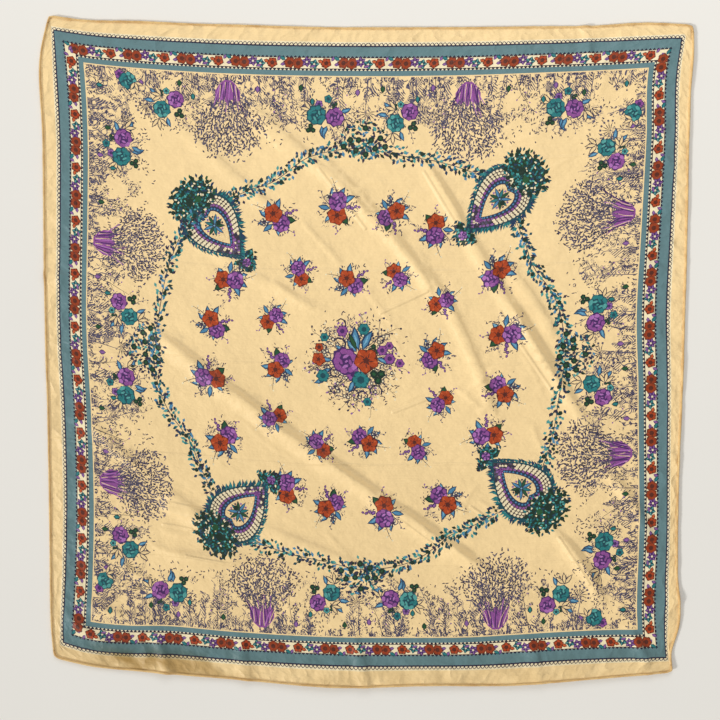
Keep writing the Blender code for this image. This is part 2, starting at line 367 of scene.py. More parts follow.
def lobed(lobes, radius, depth, perLobe=2, uneven=0.0):
    turn = 2 * np.pi * np.arange(lobes * perLobe) / (lobes * perLobe)
    reach = radius * (1 - depth * (0.5 + 0.5 * np.cos(lobes * turn)))
    return reach * np.array([1 + draws.uniform(-uneven, uneven) for _ in turn]) * np.exp(1j * turn)


def leafForm(long, wide, bend=0.0, count=3):
    t = np.linspace(0, 1, count + 1)
    middle = long * (t + 1j * bend * np.sin(np.pi * t))
    half = 0.5j * wide * np.sin(np.pi * t**0.85)
    return np.concatenate((middle + half, (middle - half)[1:-1][::-1]))


def markForm(long, wide):  # a three-cornered stroke of the brush
    return np.array((0, 0.5 * long - 0.55j * wide, long + 0.3j * wide))


def stemForm(long, bend, wide, count=4):
    t = np.linspace(0, 1, count)
    path = long * (t + 1j * bend * t * t)
    runs = np.gradient(path)
    side = 0.5j * wide * runs / np.abs(runs) * np.linspace(1, 0.4, count)
    return np.concatenate((path - side, (path + side)[::-1]))


def along(long, bend, t):
    return long * (t + 1j * bend * t * t)


def smoothPath(points, count):  # an even run of places through the given ones
    points = np.asarray(points, complex)
    tangents = np.gradient(points)
    u = np.linspace(0, len(points) - 1, count)
    row = np.minimum(u.astype(int), len(points) - 2)
    s = u - row
    return (points[row] * (1 + 2 * s) * (1 - s) ** 2 + tangents[row] * s * (1 - s) ** 2
            + points[row + 1] * s * s * (3 - 2 * s) + tangents[row + 1] * s * s * (s - 1))


def leaf(pen, long, wide, dark, fill, light=None, bend=0.0):
    pen.draw(leafForm(long, wide, bend), dark)
    pen.to(0.08 * long).draw(leafForm(0.82 * long, 0.6 * wide, bend), fill)
    if light:
        pen.to(0.16 * long + 0.12j * wide).draw(markForm(0.6 * long, 0.3 * wide), light)


def rose(pen, radius, dark, fill, light, petals=7):
    step = 360 / petals
    pen.draw(lobed(petals, 1.03 * radius, 0.12, 2, 0.07), dark)
    for i in range(petals):
        turn = step * (i + 0.5) + draws.uniform(-7, 7)
        petal = pen.to(polar(draws.uniform(0.66, 0.74) * radius, turn), turn + draws.uniform(-14, 14))
        wide = draws.uniform(0.26, 0.35) * radius
        petal.draw(oval(6, 0.21 * radius, wide), light if draws.random() < 0.25 else fill)
    for i in range(4):
        turn = 90 * i + draws.uniform(-15, 15)
        petal = pen.to(polar(0.35 * radius, turn), turn + 28)
        petal.draw(oval(5, 0.12 * radius, 0.26 * radius), light if i % 2 else fill)
    pen.to(0.06 * radius, 30).draw(oval(4, 0.15 * radius, 0.09 * radius), light)


def poppy(pen, radius, dark, fill, light, petals=5):
    step = 360 / petals
    pen.draw(lobed(petals, 1.02 * radius, 0.16, 2, 0.07), dark)
    for i in range(petals):
        turn = step * (i + 0.5) + draws.uniform(-6, 6)
        petal = pen.to(polar(0.56 * radius, turn), turn)
        wide = draws.uniform(0.34, 0.42) * radius
        petal.draw(oval(7, 0.38 * radius, wide), fill)
        petal.to(0.12 * radius + 0.12j * radius).draw(oval(4, 0.18 * radius, 0.1 * radius), light)
        petal.to(-0.5 * radius, 14).draw(markForm(0.62 * radius, 0.13 * radius), dark)
    pen.draw(oval(5, 0.17 * radius), dark)


def smallRose(pen, radius, dark, fill, petals=5):
    pen.draw(lobed(petals, radius, 0.2), dark)
    for i in range(petals):
        turn = 360 / petals * (i + 0.5)
        pen.to(polar(0.56 * radius, turn), turn).draw(oval(4, 0.3 * radius, 0.4 * radius), fill)


def daisy(pen, radius, dark, fill, centre, petals=5):
    pen.draw(lobed(petals, radius, 0.34), dark)
    for i in range(petals):
        turn = 360 / petals * (i + 0.5)
        pen.to(polar(0.22 * radius, turn), turn).draw(markForm(0.7 * radius, 0.34 * radius), fill)
    pen.draw(oval(4, 0.24 * radius), centre)


def clover(pen, radius, dark, fill):
    for i in range(3):
        petal = pen.to(polar(0.8 * radius, 120 * i + 20), 120 * i)
        petal.draw(oval(6, 0.8 * radius), dark)
        petal.draw(oval(4, 0.45 * radius, 0.35 * radius), fill)


def berries(pen, radius, count=6):
    pen.draw(lobed(5, radius, 0.3), "ink")
    for i in range(count):
        at = polar(0.6 * radius, 360 / count * i)
        pen.to(at, 40 * i).draw(oval(4, 0.25 * radius, 0.2 * radius), "pale")


def spike(pen, long, dark, fill):
    florets = 4
    for i in range(florets):
        t = (i + 0.4) / florets
        size = long * (0.2 - 0.1 * t)
        floret = pen.to(long * t + 0.25j * size * (-1) ** i, 30 * (-1) ** i)
        floret.draw(oval(5, size * 1.15, size * 0.85), dark)
        floret.draw(oval(4, size * 0.8, size * 0.5), fill)


def sprig(pen, long, stem, bud, count=5, bend=0.25, budSize=1.3):
    pen.draw(stemForm(long, bend, 0.9, 3), stem)
    for i in range(count):
        t = (i + 1.2) / (count + 0.2)
        twig = pen.to(along(long, bend, t), 50 * (-1) ** i)
        reach = long * (0.26 - 0.14 * t)
        twig.draw(markForm(reach, 0.9), stem)
        twig.to(reach).draw(oval(4, budSize, 0.8 * budSize), bud)


def posy(pen, kind):
    swap = kind % 2
    pen.to(2).draw(lobed(9, draws.uniform(20, 23), 0.3, 2, 0.16), "sketch")
    for i in range(3 + swap):
        fan = pen.to(polar(5.5, 72 + 36 * i), 60 + 38 * i)
        leaf(fan, 14, 6.4, *blues, 0.08)
    leaf(pen.to(polar(6.5, 215), 200), 12, 5.6, "blueDark", "blue")
    leaf(pen.to(polar(6, 262), 256), 11, 5, "blueDark", "blueLight")
    leaf(pen.to(polar(6, 330), 338), 12.5, 8, *greens)
    berries(pen.to(polar(12.5, 158 + 20 * swap), 20 * kind), 4.2)
    spike(pen.to(polar(9, 30 - 24 * swap), 34 - 30 * swap), 13, *lilacs)
    sprig(pen.to(polar(8, 128), 118), 17, "ink", "pale", 5, 0.3)
    sprig(pen.to(polar(8, 190), 172), 15, "line", "line", 5, -0.3, 1.0)
    sprig(pen.to(polar(8, 300), 288), 14, "line", "lilac", 4, 0.3, 1.1)
    turn = 57 * kind
    if swap:
        rose(pen.to(polar(6.4, 292), turn), 9.0, *purples)
        poppy(pen.to(polar(5.8, 112), turn), 9.6, *rusts, 5)
    else:
        poppy(pen.to(polar(6.6, 300), turn), 9.4, *rusts, 6)
        rose(pen.to(polar(5.8, 118), turn), 9.2, *purples)


def printFlowerStrip():
    repeats = printForm["stripRepeats"]
    middle = (printForm["innerTeeth"] + printForm["flowerStrip"]) / 2
    pitch = 2 * middle / repeats
    for quarter in quarters():
        for i in range(repeats):
            cell = quarter.to(-middle + pitch * i + 1j * middle)
            leaf(cell.to(11 - 4.4j, 20), 9, 3.6, "tealDark", "tealLight")
            smallRose(cell.to(5.2 + 0.4j, 20), 7.3, *bricks, 6)
            smallRose(cell.to(15.4 - 0.2j, 50 + 40 * (i % 2)), 7.5, *bricks, 7)
            daisy(cell.to(25.6 + 1.4j, 10), 6.6, *lilacs, "pale", 6)
            daisy(cell.to(34.4 - 1.2j, 40), 6.4, "tealDark", "tealLight", "pale", 5)
            leaf(cell.to(29 - 4.2j, 10), 8, 3.6, *lilacs)
            leaf(cell.to(38.2 + 3.2j, -20), 8.4, 5.0, "brickDark", "rustLight")
            leaf(cell.to(0.5 + 3.4j, 150), 8.6, 5.0, "tealDark", "teal")
            leaf(cell.to(43 - 4j, 12), 8, 3.8, *bricks)
            smallRose(cell.to(48.6 + 0.1j, 15), 6.8, "brickDark", "rust", 5)
            for k in range(3):
                spikelet = cell.to(54.6 + 3.3 * k + 1j * (2.2 - 4.2 * (k % 2)), 60 - 50 * k)
                leaf(spikelet, 7.4, 4.2, *lilacs)


def bush(pen):  # the bound stems of a bush: its leaves are strewn by the silk's own material
    clump = np.array((-10 + 12j, -4 + 7j, 4 + 7j, 10 + 12j, 15 + 20j, 15 + 30j, 10 + 34j, 5 + 29j,
                      36j, -5 + 29j, -10 + 34j, -15 + 29j, -15 + 20j))
    pen.draw(clump, "purple")
    for i in range(19):
        share = (i - 9) / 9
        stem = pen.to(share * 11 + 1j * (9 + 6 * share * share), 90 - share * 15 + draws.uniform(-11, 11))
        ink = ("purpleDark", "purpleLight", "ground", "purpleDark", "purple")[i % 5]
        wide = 0.8 if ink == "ground" else 1.7  # a thin gap, or a stem
        stem.draw(stemForm(draws.uniform(20, 40), draws.uniform(-0.25, 0.25), wide, 3), ink)
    for i in range(9):
        twig = pen.to((i - 4) * 2.4 + draws.uniform(26, 34) * 1j, 90 - (i - 4) * 9)
        twig.draw(stemForm(draws.uniform(22, 48), draws.uniform(-0.2, 0.2), 1.1, 3), "line")


def leafyStem(pen, high):
    bend = draws.uniform(-0.25, 0.25)
    stem = pen.to(0, 90 + draws.uniform(-10, 10))
    stem.draw(stemForm(high, bend, 1.0, 3), "line")
    count = int(high / 3)
    for k in range(count):
        stroke = stem.to(along(high, bend, 0.2 + 0.8 * k / count), draws.uniform(30, 65) * (-1) ** k)
        stroke.draw(markForm(draws.uniform(3.8, 6.6), 1.6), "line")


def seedHead(pen, high):
    sprig(pen.to(0, 90 + draws.uniform(-14, 14)), high, "ink", "lilac", 6, draws.uniform(-0.3, 0.3))


def umbel(pen, high):  # a dill-like head of spokes with a seed at the end of each
    stem = pen.to(0, 90 + draws.uniform(-6, 6))
    stem.draw(stemForm(high, 0.08, 1.3, 3), "line")
    for i in range(9):
        spoke = stem.to(high, -100 + 25 * i)
        spoke.draw(markForm(12, 1.5), "ink")
        spoke.to(12).draw(oval(4, 1.7), "line")


def openLeaf(pen, long, wide):  # a leaf in outline only
    leaf(pen, long, wide, "ink", "ground")


def rosePair(pen, large):  # a teal rose beside a purple one, in either of two layouts
    if large:
        flowers, sketch = ((-10 - 2j, 40, 12.2, teals), (12, 75, 11.8, purples)), (24 + 2j, -17 - 8j)
        leaves = ((19 + 4j, 30, 17), (18 - 6j, -18, 15), (-4 + 10j, 76, 17), (3 + 10j, 112, 15))
        smallRose(pen.to(4 - 21j, 30), 5.6, "tealDark", "teal")
        smallRose(pen.to(-7 - 15j, 60), 5.4, *lilacs)
        clover(pen.to(-17 + 14j, 10), 4.2, *greens)
        clover(pen.to(11 - 14j, 70), 3.2, *greens)
    else:
        flowers, sketch = ((-8 + 6j, 40, 11.2, teals), (9 - 7j, 75, 10.8, purples)), (-12 + 17j, -8 - 10j)
        leaves = ((-16 - 2j, 190, 15), (-14 - 8j, 232, 14), (-2 + 15j, 70, 13))
        clover(pen.to(13 + 10j, 20), 4.4, *greens)
        smallRose(pen.to(-2 - 16j, 20), 4.6, "tealDark", "tealLight")
        clover(pen.to(-9 - 13j, 40), 2.8, *greens)
    for at, turn, long in leaves:
        leaf(pen.to(at, turn), long, 0.44 * long, *blues, 0.06)
    for i in range(3):
        openLeaf(pen.to(sketch[0], 40 + 44 * i), 15, 6)
        openLeaf(pen.to(sketch[1], 150 + 42 * i), 14, 5.6)
        sprig(pen.to(polar(13, 60 + 120 * i), 50 + 118 * i), 17, "line", "line", 5, 0.3, 1.2)
    for at, turn, radius, inks in flowers:
        rose(pen.to(at, turn), radius, *inks, 8)


borderForm = {  # along each side of the field, from its middle, and up from its edge
    "herbs": ((-262, 40, umbel), (-252, 52, leafyStem), (-204, 50, seedHead), (-102, 42, seedHead),
              (-90, 62, leafyStem), (-24, 38, seedHead), (4, 40, umbel), (84, 54, seedHead),
              (166, 54, leafyStem), (180, 44, seedHead), (272, 42, umbel)),
    "bushes": (-164, 124),
    "rosePairs": ((-236 + 40j, False), (-47 + 47j, True), (46 + 48j, False), (239 + 43j, True)),
    "leaves": (-268 + 12j, -222 + 9j, -206 + 24j, -128 + 12j, -76 + 9j, -62 + 25j, -8 + 14j, 22 + 10j,
               64 + 22j, 82 + 9j, 172 + 12j, 214 + 26j, 228 + 10j, 262 + 20j, 312 + 12j),
}


def printHerbBorder():  # a row of herbs, bushes and roses along each side
    for quarter in quarters():
        side = quarter.to(1j * printForm["field"], 0, 1, True)
        for place, high, herb in borderForm["herbs"]:
            herb(side.to(place + 2j), high)
        for place in borderForm["bushes"]:
            bush(side.to(place))
        for place, large in borderForm["rosePairs"]:
            rosePair(side.to(place), large)
        for i, place in enumerate(borderForm["leaves"]):
            leaf(side.to(place, 90), 9, 6.5, *(lilacs, greens, ("greenDark", "teal"))[i % 3])
        smallRose(side.to(-294 + 8j, 20), 6.5, "purpleDark", "purple")
        rose(side.to(-284 + 15j, 30), 11.0, *teals, 8)
        for i in range(3):
            openLeaf(side.to(-276 + 16j, 20 + 50 * i), 12, 5)


garlandForm = {  # in one quarter of the field
    "route": (-166 + 186j, -136 + 200j, -106 + 212j, -74 + 236j, -42 + 248j, 252j,
              42 + 244j, 90 + 236j, 128 + 224j, 152 + 212j, 168 + 196j),
    "places": 112,  # along it, each with a few leaves
    "inks": ("tealDark", "teal", "blueDark", "greenDark", "ink", "tealDark", "tealLight", "blue"),
    "bunch": 262j,  # the thick bunch of leaves at its top
    "bunchLeaves": 116,
    "bunchRadius": 23.0,
    "berries": (-9 + 250j, 3 + 245j, 14 + 252j, -16 + 262j, 20 + 264j, 2 + 276j, -6 + 262j,
                9 + 262j, -24 + 254j, 26 + 254j),
}


def printGarland(quarter):
    form, leafInks = garlandForm, garlandForm["inks"]
    path = smoothPath(form["route"], form["places"])
    runs = np.gradient(path)
    runs /= np.abs(runs)
    stem, aside = path[::3], 0.45j * runs[::3]
    quarter.draw(np.concatenate((stem + aside, (stem - aside)[::-1])), "ink")
    for k, (place, run) in enumerate(zip(path, runs)):
        vine = quarter.to(place, math.degrees(cmath.phase(run)))
        for side in (-1, 1):
            leaflet = vine.to(1j * side * draws.uniform(-1.6, 3.6), side * draws.uniform(10, 85))
            leaflet.draw(leafForm(draws.uniform(5.2, 8.6), 3.8, 0, 2), draws.choice(leafInks))
            if draws.random() < 0.66:
                leaflet = vine.to(1j * side * draws.uniform(3.6, 8.5), side * draws.uniform(-40, 110))
                leaflet.draw(leafForm(draws.uniform(4.6, 7), 3.8, 0, 2), draws.choice(leafInks))
        if k % 7 == 3:
            vine.to(1j * draws.uniform(-7, 7)).draw(oval(6, 2.8), "greenDark")
    for i in range(form["bunchLeaves"]):
        out = form["bunchRadius"] * math.sqrt((i + 0.5) / form["bunchLeaves"])
        place = polar(out, 137.5 * i)  # as seeds lie in a head, so that none hides another
        leaflet = quarter.to(form["bunch"] + place.real * 1.2 + 1j * place.imag, draws.uniform(0, 360))
        leaflet.draw(leafForm(draws.uniform(4.6, 7.4), 3.4, 0, 2), draws.choice(leafInks + ("ink",)))
    for place in form["berries"]:
        quarter.to(place).draw(oval(7, 3.9), "greenDark")
        quarter.to(place).draw(oval(4, 1.8), "green")


def dropForm(long, wide, count):  # round behind, pointed in front, with a hint of a heart
    turn = 2 * np.pi * np.arange(count) / count
    notch = 0.13 * long * np.exp(-(((turn - np.pi) / 0.3) ** 2))
    return 0.5 * long * np.cos(turn) + notch + 0.6j * wide * np.sin(turn) * np.abs(np.sin(turn / 2))


paisleyForm = {
    "places": (-174 + 152j, -186 + 163j, -192 + 155j, -185 + 149j),  # one in each quarter
    "turn": -45,
    "feathered": (86, 72, 76),  # each drop's length, width and number of points
    "outer": ((88, 73, 40, "tealDark"), (83, 68, 36, "umber")),
    "pebbleRows": ((79, 64.5, 50), (72.3, 57.8, 46), (65.8, 51.2, 42)),
    "beads": (60, 45, 38),
    "inner": ((58, 42, 26, "ink"), (56, 40, 26, "blueDark")),
    "smallBeads": (52.5, 36.3, 34),
    "heart": ((49.5, 33, 26, "ink"), (47.5, 31.2, 26, "ground")),
    "headInks": ("tealDark", "tealDark", "teal", "greenDark", "blueDark", "night", "green"),
    "head": (0.84, 1.2),  # its length and width, as shares of a round one's
    "tuft": (17, 4 + 13j, -2 + 17j, -5 + 9j, 0, -5 - 9j, -2 - 17j, 4 - 13j),
}


def drawDrops(pen, drops):
    for *size, ink in drops:
        pen.draw(dropForm(*size), ink)


def paisley(pen):
    form = paisleyForm
    edge = dropForm(*form["feathered"])
    outward = np.gradient(edge) * -1j
    for place, way in zip(edge, outward):
        side = 1 if place.imag > 0 else -1
        turn = math.degrees(cmath.phase(way))
        for size in (1.0, 0.75):
            feather = pen.to(place * 0.97, turn - side * draws.uniform(15, 55))
            long = (10.5 if side > 0 else 7.5) * size
            feather.draw(markForm(long, 4.4), draws.choice(("tealDark", "teal", "blueDark")))
    drawDrops(pen, form["outer"])
    for size in form["pebbleRows"]:
        row = dropForm(*size)
        for place, run in zip(row, np.roll(row, -1) - np.roll(row, 1)):
            pebble = pen.to(place, math.degrees(cmath.phase(run)))
            ink = "pale" if place.real < 18 else draws.choice(("pale", "lilac", "ink", "line"))
            pebble.draw(oval(6, 0.22 * abs(run), 1.65), ink)
    for i, place in enumerate(dropForm(*form["beads"])):
        pen.to(place).draw(oval(5, 1.9), "purple" if i % 2 else "lilac")
    drawDrops(pen, form["inner"])
    for place in dropForm(*form["smallBeads"]):
        pen.to(place).draw(oval(4, 1.3), "blue")
    drawDrops(pen, form["heart"])
    heart = pen.to(-5)
    for i in range(9):
        leaf(heart.to(0, 40 * i + 10), 15 - i % 3, 5, "ink", ("blue", "green", "teal")[i % 3])
        heart.to(polar(10.5, 40 * i + 30)).draw(oval(4, 1.6), ("lilac", "ink")[i % 2])
    heart.to(1 + 6j).draw(oval(6, 3.4), "greenDark")
    heart.draw(oval(5, 2.6), "ink")
    heart.draw(oval(4, 1.3), "blueLight")
    rose(pen.to(28 + 1j), 3.4, *purples, 5)
    head, (long, wide) = pen.to(-47), form["head"]
    head.draw(long * lobed(11, 25, 0.16, 4).real + 1j * wide * lobed(11, 25, 0.16, 4).imag, "foliage")
    for i in range(40):
        at = polar(24.5, 9 * i + draws.uniform(-4, 4))
        leafTurn = math.degrees(cmath.phase(at)) + draws.uniform(-60, 60)
        leaflet = head.to(long * at.real + 1j * wide * at.imag, leafTurn)
        leaflet.draw(leafForm(6, 3, 0, 2), draws.choice(form["headInks"]))
    for i in range(15):
        at = polar(24, 24 * i)
        head.to(0.86 * at.real + 1j * wide * at.imag).draw(oval(6, 2.9), "greenDark")
    head.to(2 - 5j).draw(oval(7, 5.2), "greenDark")
    head.to(6 + 6j).draw(oval(6, 4.2), "green")
    pen.to(-31.5).draw(oval(7, 3.6, 7), "foliage")
    tuft = pen.to(48)
    tuft.draw(np.array(form["tuft"]), "foliage")
    for i in range(28):
        far = draws.random()
        place = 15 - 17 * far + 1j * (16 * far + 2) * (-1) ** i
        ink = draws.choice(("tealDark", "night", "greenDark", "teal"))
        tuft.to(place, draws.uniform(-40, 40)).draw(leafForm(6, 3, 0, 2), ink)
    rose(tuft.to(6), 5.6, *lilacs, "purpleLight", 5)


bouquetForm = {
    "size": 1.1,
    "sprigs": 26,
    "sprigTurn": 13.85,  # from one to the next
    "loops": 15,
    "berries": 60,
    "blueLeaves": ((4 + 12j, 100, 27), (8 + 12j, 62, 25), (2 + 10j, 128, 18), (-3 - 20j, 245, 16),
                   (-28 - 8j, 200, 14), (-26 + 1j, 168, 14), (-34 - 18j, 205, 15),
                   (-12 + 12j, 150, 12), (24 + 4j, 330, 14)),  # place, turn, length
    "flowers": ((30 + 12j, 6.5, "purple"), (38 + 3j, 7.0, "purple"), (49 - 2j, 5.5, "purple"),
                (38 + 17j, 5, "purple"), (-14 + 33j, 7, "purple"), (-3 - 14j, 9, "purple"),
                (5 - 20j, 11, "teal"), (10 + 35j, 7.5, "teal"), (-34 + 26j, 5.5, "teal"),
                (-37 - 16j, 8, "teal"), (11 - 44j, 5.5, "teal")),
}


def centreBouquet(pen):
    form = bouquetForm
    for i in range(form["sprigs"]):
        turn = form["sprigTurn"] * i
        foot = pen.to(polar(22, turn + 8), turn + draws.uniform(-24, 24))
        bud = draws.choice(("pale", "ink", "lilac"))
        sprig(foot, draws.uniform(20, 38), "ink", bud, 6, draws.uniform(-0.5, 0.5), 1.7)
    for i in range(form["loops"]):
        turn = np.radians(np.linspace(0, draws.uniform(200, 300), 6)) + i
        loop = draws.uniform(4, 8) * np.exp(1j * turn)
        tendril = np.concatenate((loop * 1.12, (loop * 0.86)[::-1]))
        around = 360 / form["loops"] * i + 15
        pen.to(polar(draws.uniform(24, 44), around)).draw(tendril, "ink")
    for _ in range(form["berries"]):
        berry = pen.to(polar(draws.uniform(15, 42), draws.uniform(0, 360)))
        berry.draw(oval(5, 2.4), "ink")
        berry.draw(oval(4, 1.4), "pale")
    for at, turn, long in form["blueLeaves"]:
        leaf(pen.to(at, turn), long, 0.42 * long, *blues, 0.05)
    leaf(pen.to(2 + 12j, 115), 22, 6, *greens)
    clover(pen.to(24 - 16j, 10), 6, *greens)
    clover(pen.to(20 + 13j, 60), 4, *greens)
    for at, radius, name in form["flowers"]:
        smallRose(pen.to(at, 30), radius, f"{name}Dark", name, 6)
    poppy(pen.to(-41 + 2j, 20), 8, *rusts)
    smallRose(pen.to(-40 + 15j, 20), 5.5, "rustDark", "rust")
    rose(pen.to(-11), 15.5, *purples, 9)
    poppy(pen.to(12 + 1j, 12), 14.5, *rusts)


posyForm = {
    "size": 1.14,
    "places": (  # in one quarter of the field: place, turn, share of that size
        (-70 + 104j, -10, 0.92), (-7 + 95j, 30, 1.02), (49 + 102j, 190, 0.92),
        (-101 + 168j, 20, 1.12), (-28 + 182j, -30, 1.15), (38 + 175j, -80, 1.05),
        (92 + 156j, 150, 1.08)),
}


def paintPrint():
    printFlowerStrip()
    printHerbBorder()
    for quarter, pulled in zip(quarters(), paisleyForm["places"]):
        printGarland(quarter)
        paisley(quarter.to(pulled, paisleyForm["turn"]))
        for kind, (place, turn, size) in enumerate(posyForm["places"]):
            posy(quarter.to(place, turn, posyForm["size"] * size), kind)
    centreBouquet(Pen().to(size=bouquetForm["size"]))


throughForm = {  # what shows on the back: the larger motifs, as soft patches
    "posy": ((6j, 8, 8, "purple"), (-6j, 8, 8, "rust")),  # place, points, radius, ink
    "roses": ((9, 8, 9.5, "teal"), (-9, 8, 9.5, "purple")),
    "rosePlaces": ((62 + 42j, 8), (236 + 42j, -20)),
    "bouquet": ((-11, 10, 14, "purple"), (12, 10, 13, "rust")),
    "drop": (-172 + 162j, -44),
    "drops": ((96, 68, 20, "tealDark"), (86, 58, 20, "pale")),
}


def paintPatches(pen, patches):
    for place, count, radius, ink in patches:
        pen.to(place).draw(oval(count, radius), ink)


def paintThrough():
    form = throughForm
    for quarter in quarters():
        for place, turn, size in posyForm["places"]:
            paintPatches(quarter.to(place, turn, size), form["posy"])
        drop = quarter.to(*form["drop"])
        drawDrops(drop, form["drops"])
        drop.to(-48).draw(oval(12, 22, 26), "foliage")
        for mirrored in (False, True):
            side = quarter.to(1j * printForm["field"], 0 if mirrored else 180, 1, mirrored)
            for place, turn in form["rosePlaces"]:
                paintPatches(side.to(place, turn), form["roses"])
    paintPatches(Pen(), form["bouquet"])


def linked(thing):
    bpy.context.scene.collection.objects.link(thing)
    return thing


def inksAt(spots, shapes):  # the last painted shape that each spot lies in, or -1
    order = np.argsort(spots.real)
    across = spots.real[order]
    found = np.full(len(spots), -1)
    for outline, ink in shapes:
        low, high = np.searchsorted(across, (outline.real.min(), outline.real.max()))
        near = order[low:high]
        level = spots.imag[near]
        near = near[(level > outline.imag.min()) & (level < outline.imag.max())]
        spot = spots[near]
        inside = np.zeros(len(near), bool)
        for a, b in zip(outline, np.roll(outline, -1)):
            if a.imag != b.imag:
                crossing = (a.imag > spot.imag) != (b.imag > spot.imag)
                reach = a.real + (b.real - a.real) * (spot.imag - a.imag) / (b.imag - a.imag)
                inside ^= crossing & (spot.real < reach)
        found[near[inside]] = ink
    return found


def triangulate(points, edges, shapes):  # points, triangles and inks of the cut-up square
    corners = [Vector((p.real, p.imag)) for p in points]
    made = delaunay_2d_cdt(corners, edges, [], 0, clothForm["sameSpot"], True)
    places = np.array([complex(p.x, p.y) for p in made[0]])
    faces = np.array(made[2])
    kept = np.full(len(points), -1)  # where each given point ended up
    for new, olds in enumerate(made[3]):
        kept[olds] = new
    return places, faces, inksAt(places[faces].mean(1), shapes), kept


def inkBorders(faces, inks):  # the edges with a different ink on each side
    ends = np.sort(np.concatenate((faces[:, [0, 1]], faces[:, [1, 2]], faces[:, [2, 0]])), 1)
    sides = np.tile(inks, 3)
    order = np.lexsort((ends[:, 1], ends[:, 0]))
    ends, sides = ends[order], sides[order]
    pairs = np.flatnonzero((ends[1:] == ends[:-1]).all(1) & (sides[1:] != sides[:-1]))
    return ends[pairs]


def rimPath():  # round the cloth, inside the rolled hem, with rounded corners
    half = clothForm["flatSide"] / 2 - clothForm["hemRadius"]
    radius, steps = clothForm["cornerRadius"], clothForm["cornerSteps"]
    straight = np.linspace(-half + radius, half - radius, clothForm["rimSteps"])
    bend = radius * np.exp(0.5j * np.pi * np.arange(1, steps) / steps)
    side = np.concatenate((half + 1j * straight, (half - radius) * (1 + 1j) + bend))
    return np.concatenate([side * 1j**turn for turn in range(4)])


def loopEdges(start, count):
    return [(start + i, start + (i + 1) % count) for i in range(count)]


def bendPlaces(step, reach, rows):  # a grid, and rows along the folds, within the rim
    half = reach - step / 2
    line = np.linspace(-half, half, round(2 * half / step) + 1)
    grid = (line[None, :] + 1j * line[:, None]).ravel()
    grid = np.concatenate((grid, foldRows(foldForm, rows)))
    radius = clothForm["cornerRadius"]
    quarter = np.abs(grid.real) + 1j * np.abs(grid.imag)
    corner = quarter - (reach - radius) * (1 + 1j)
    inside = (corner.real < 0) | (corner.imag < 0) | (np.abs(corner) < radius - 2)
    return grid[inside & (np.maximum(quarter.real, quarter.imag) < reach - 1)]


def cutCloth(shapes, rim, step, rows):  # cut by the shapes, then again by what shows of them
    edges, start = [], 0
    for outline, _ in shapes:
        edges += loopEdges(start, len(outline))
        start += len(outline)
    points = np.concatenate([outline for outline, _ in shapes])
    places, faces, inks, _ = triangulate(points, edges, shapes)
    used, borders = np.unique(inkBorders(faces, inks), return_inverse=True)
    borders = borders.reshape(-1, 2) + len(rim)
    edges = loopEdges(0, len(rim)) + [tuple(map(int, pair)) for pair in borders]
    points = np.concatenate((rim, places[used], bendPlaces(step, rim.real.max(), rows)))
    places, faces, inks, kept = triangulate(points, edges, shapes)
    return places, faces, inks, kept[:len(rim)]


def inLight(colour):  # a shade from the table, as linear light and full cover
    shade = np.array(colour) / 255
    return (*np.where(shade < 0.04045, shade / 12.92, ((shade + 0.055) / 1.055) ** 2.4), 1.0)


def inkTable():  # a colour for each ink, and how it is filled: 1 by itself, less by a drawing
    table = np.array([inLight(shade) for shade in (*inkColours.values(), inkColours["ground"])])
    table[inkNames.index("foliage"), 3] = 0.5
    table[inkNames.index("sketch"), 3] = 0.2
    table[-1, 3] = 0.0  # no ink at all, left to the page
    return table


bakeLayout = {  # start and width on the baked picture
    "front": (0.005, 0.78), "back": (0.80615, 0.1794), "rim": (0.79, 0.01), "level": (0.01, 0.98),
}


def bakePlaces(flat, count, faces, edgeCount):  # the rim's faces, which come last, get a strip
    across = flat.real / clothForm["flatSide"] + 0.5
    (front, frontWide), (back, backWide), (rim, rimWide), (low, tall) = bakeLayout.values()
    share = np.concatenate((front + across[:count] * frontWide, back + across[count:] * backWide))
    level = low + (flat.imag / clothForm["flatSide"] + 0.5) * tall
    corners = faces.ravel()
    places = np.column_stack((share, level))[corners]
    start = len(corners) - 3 * edgeCount
    places[start:, 0] = rim + rimWide * (corners[start:] >= count)
    return places


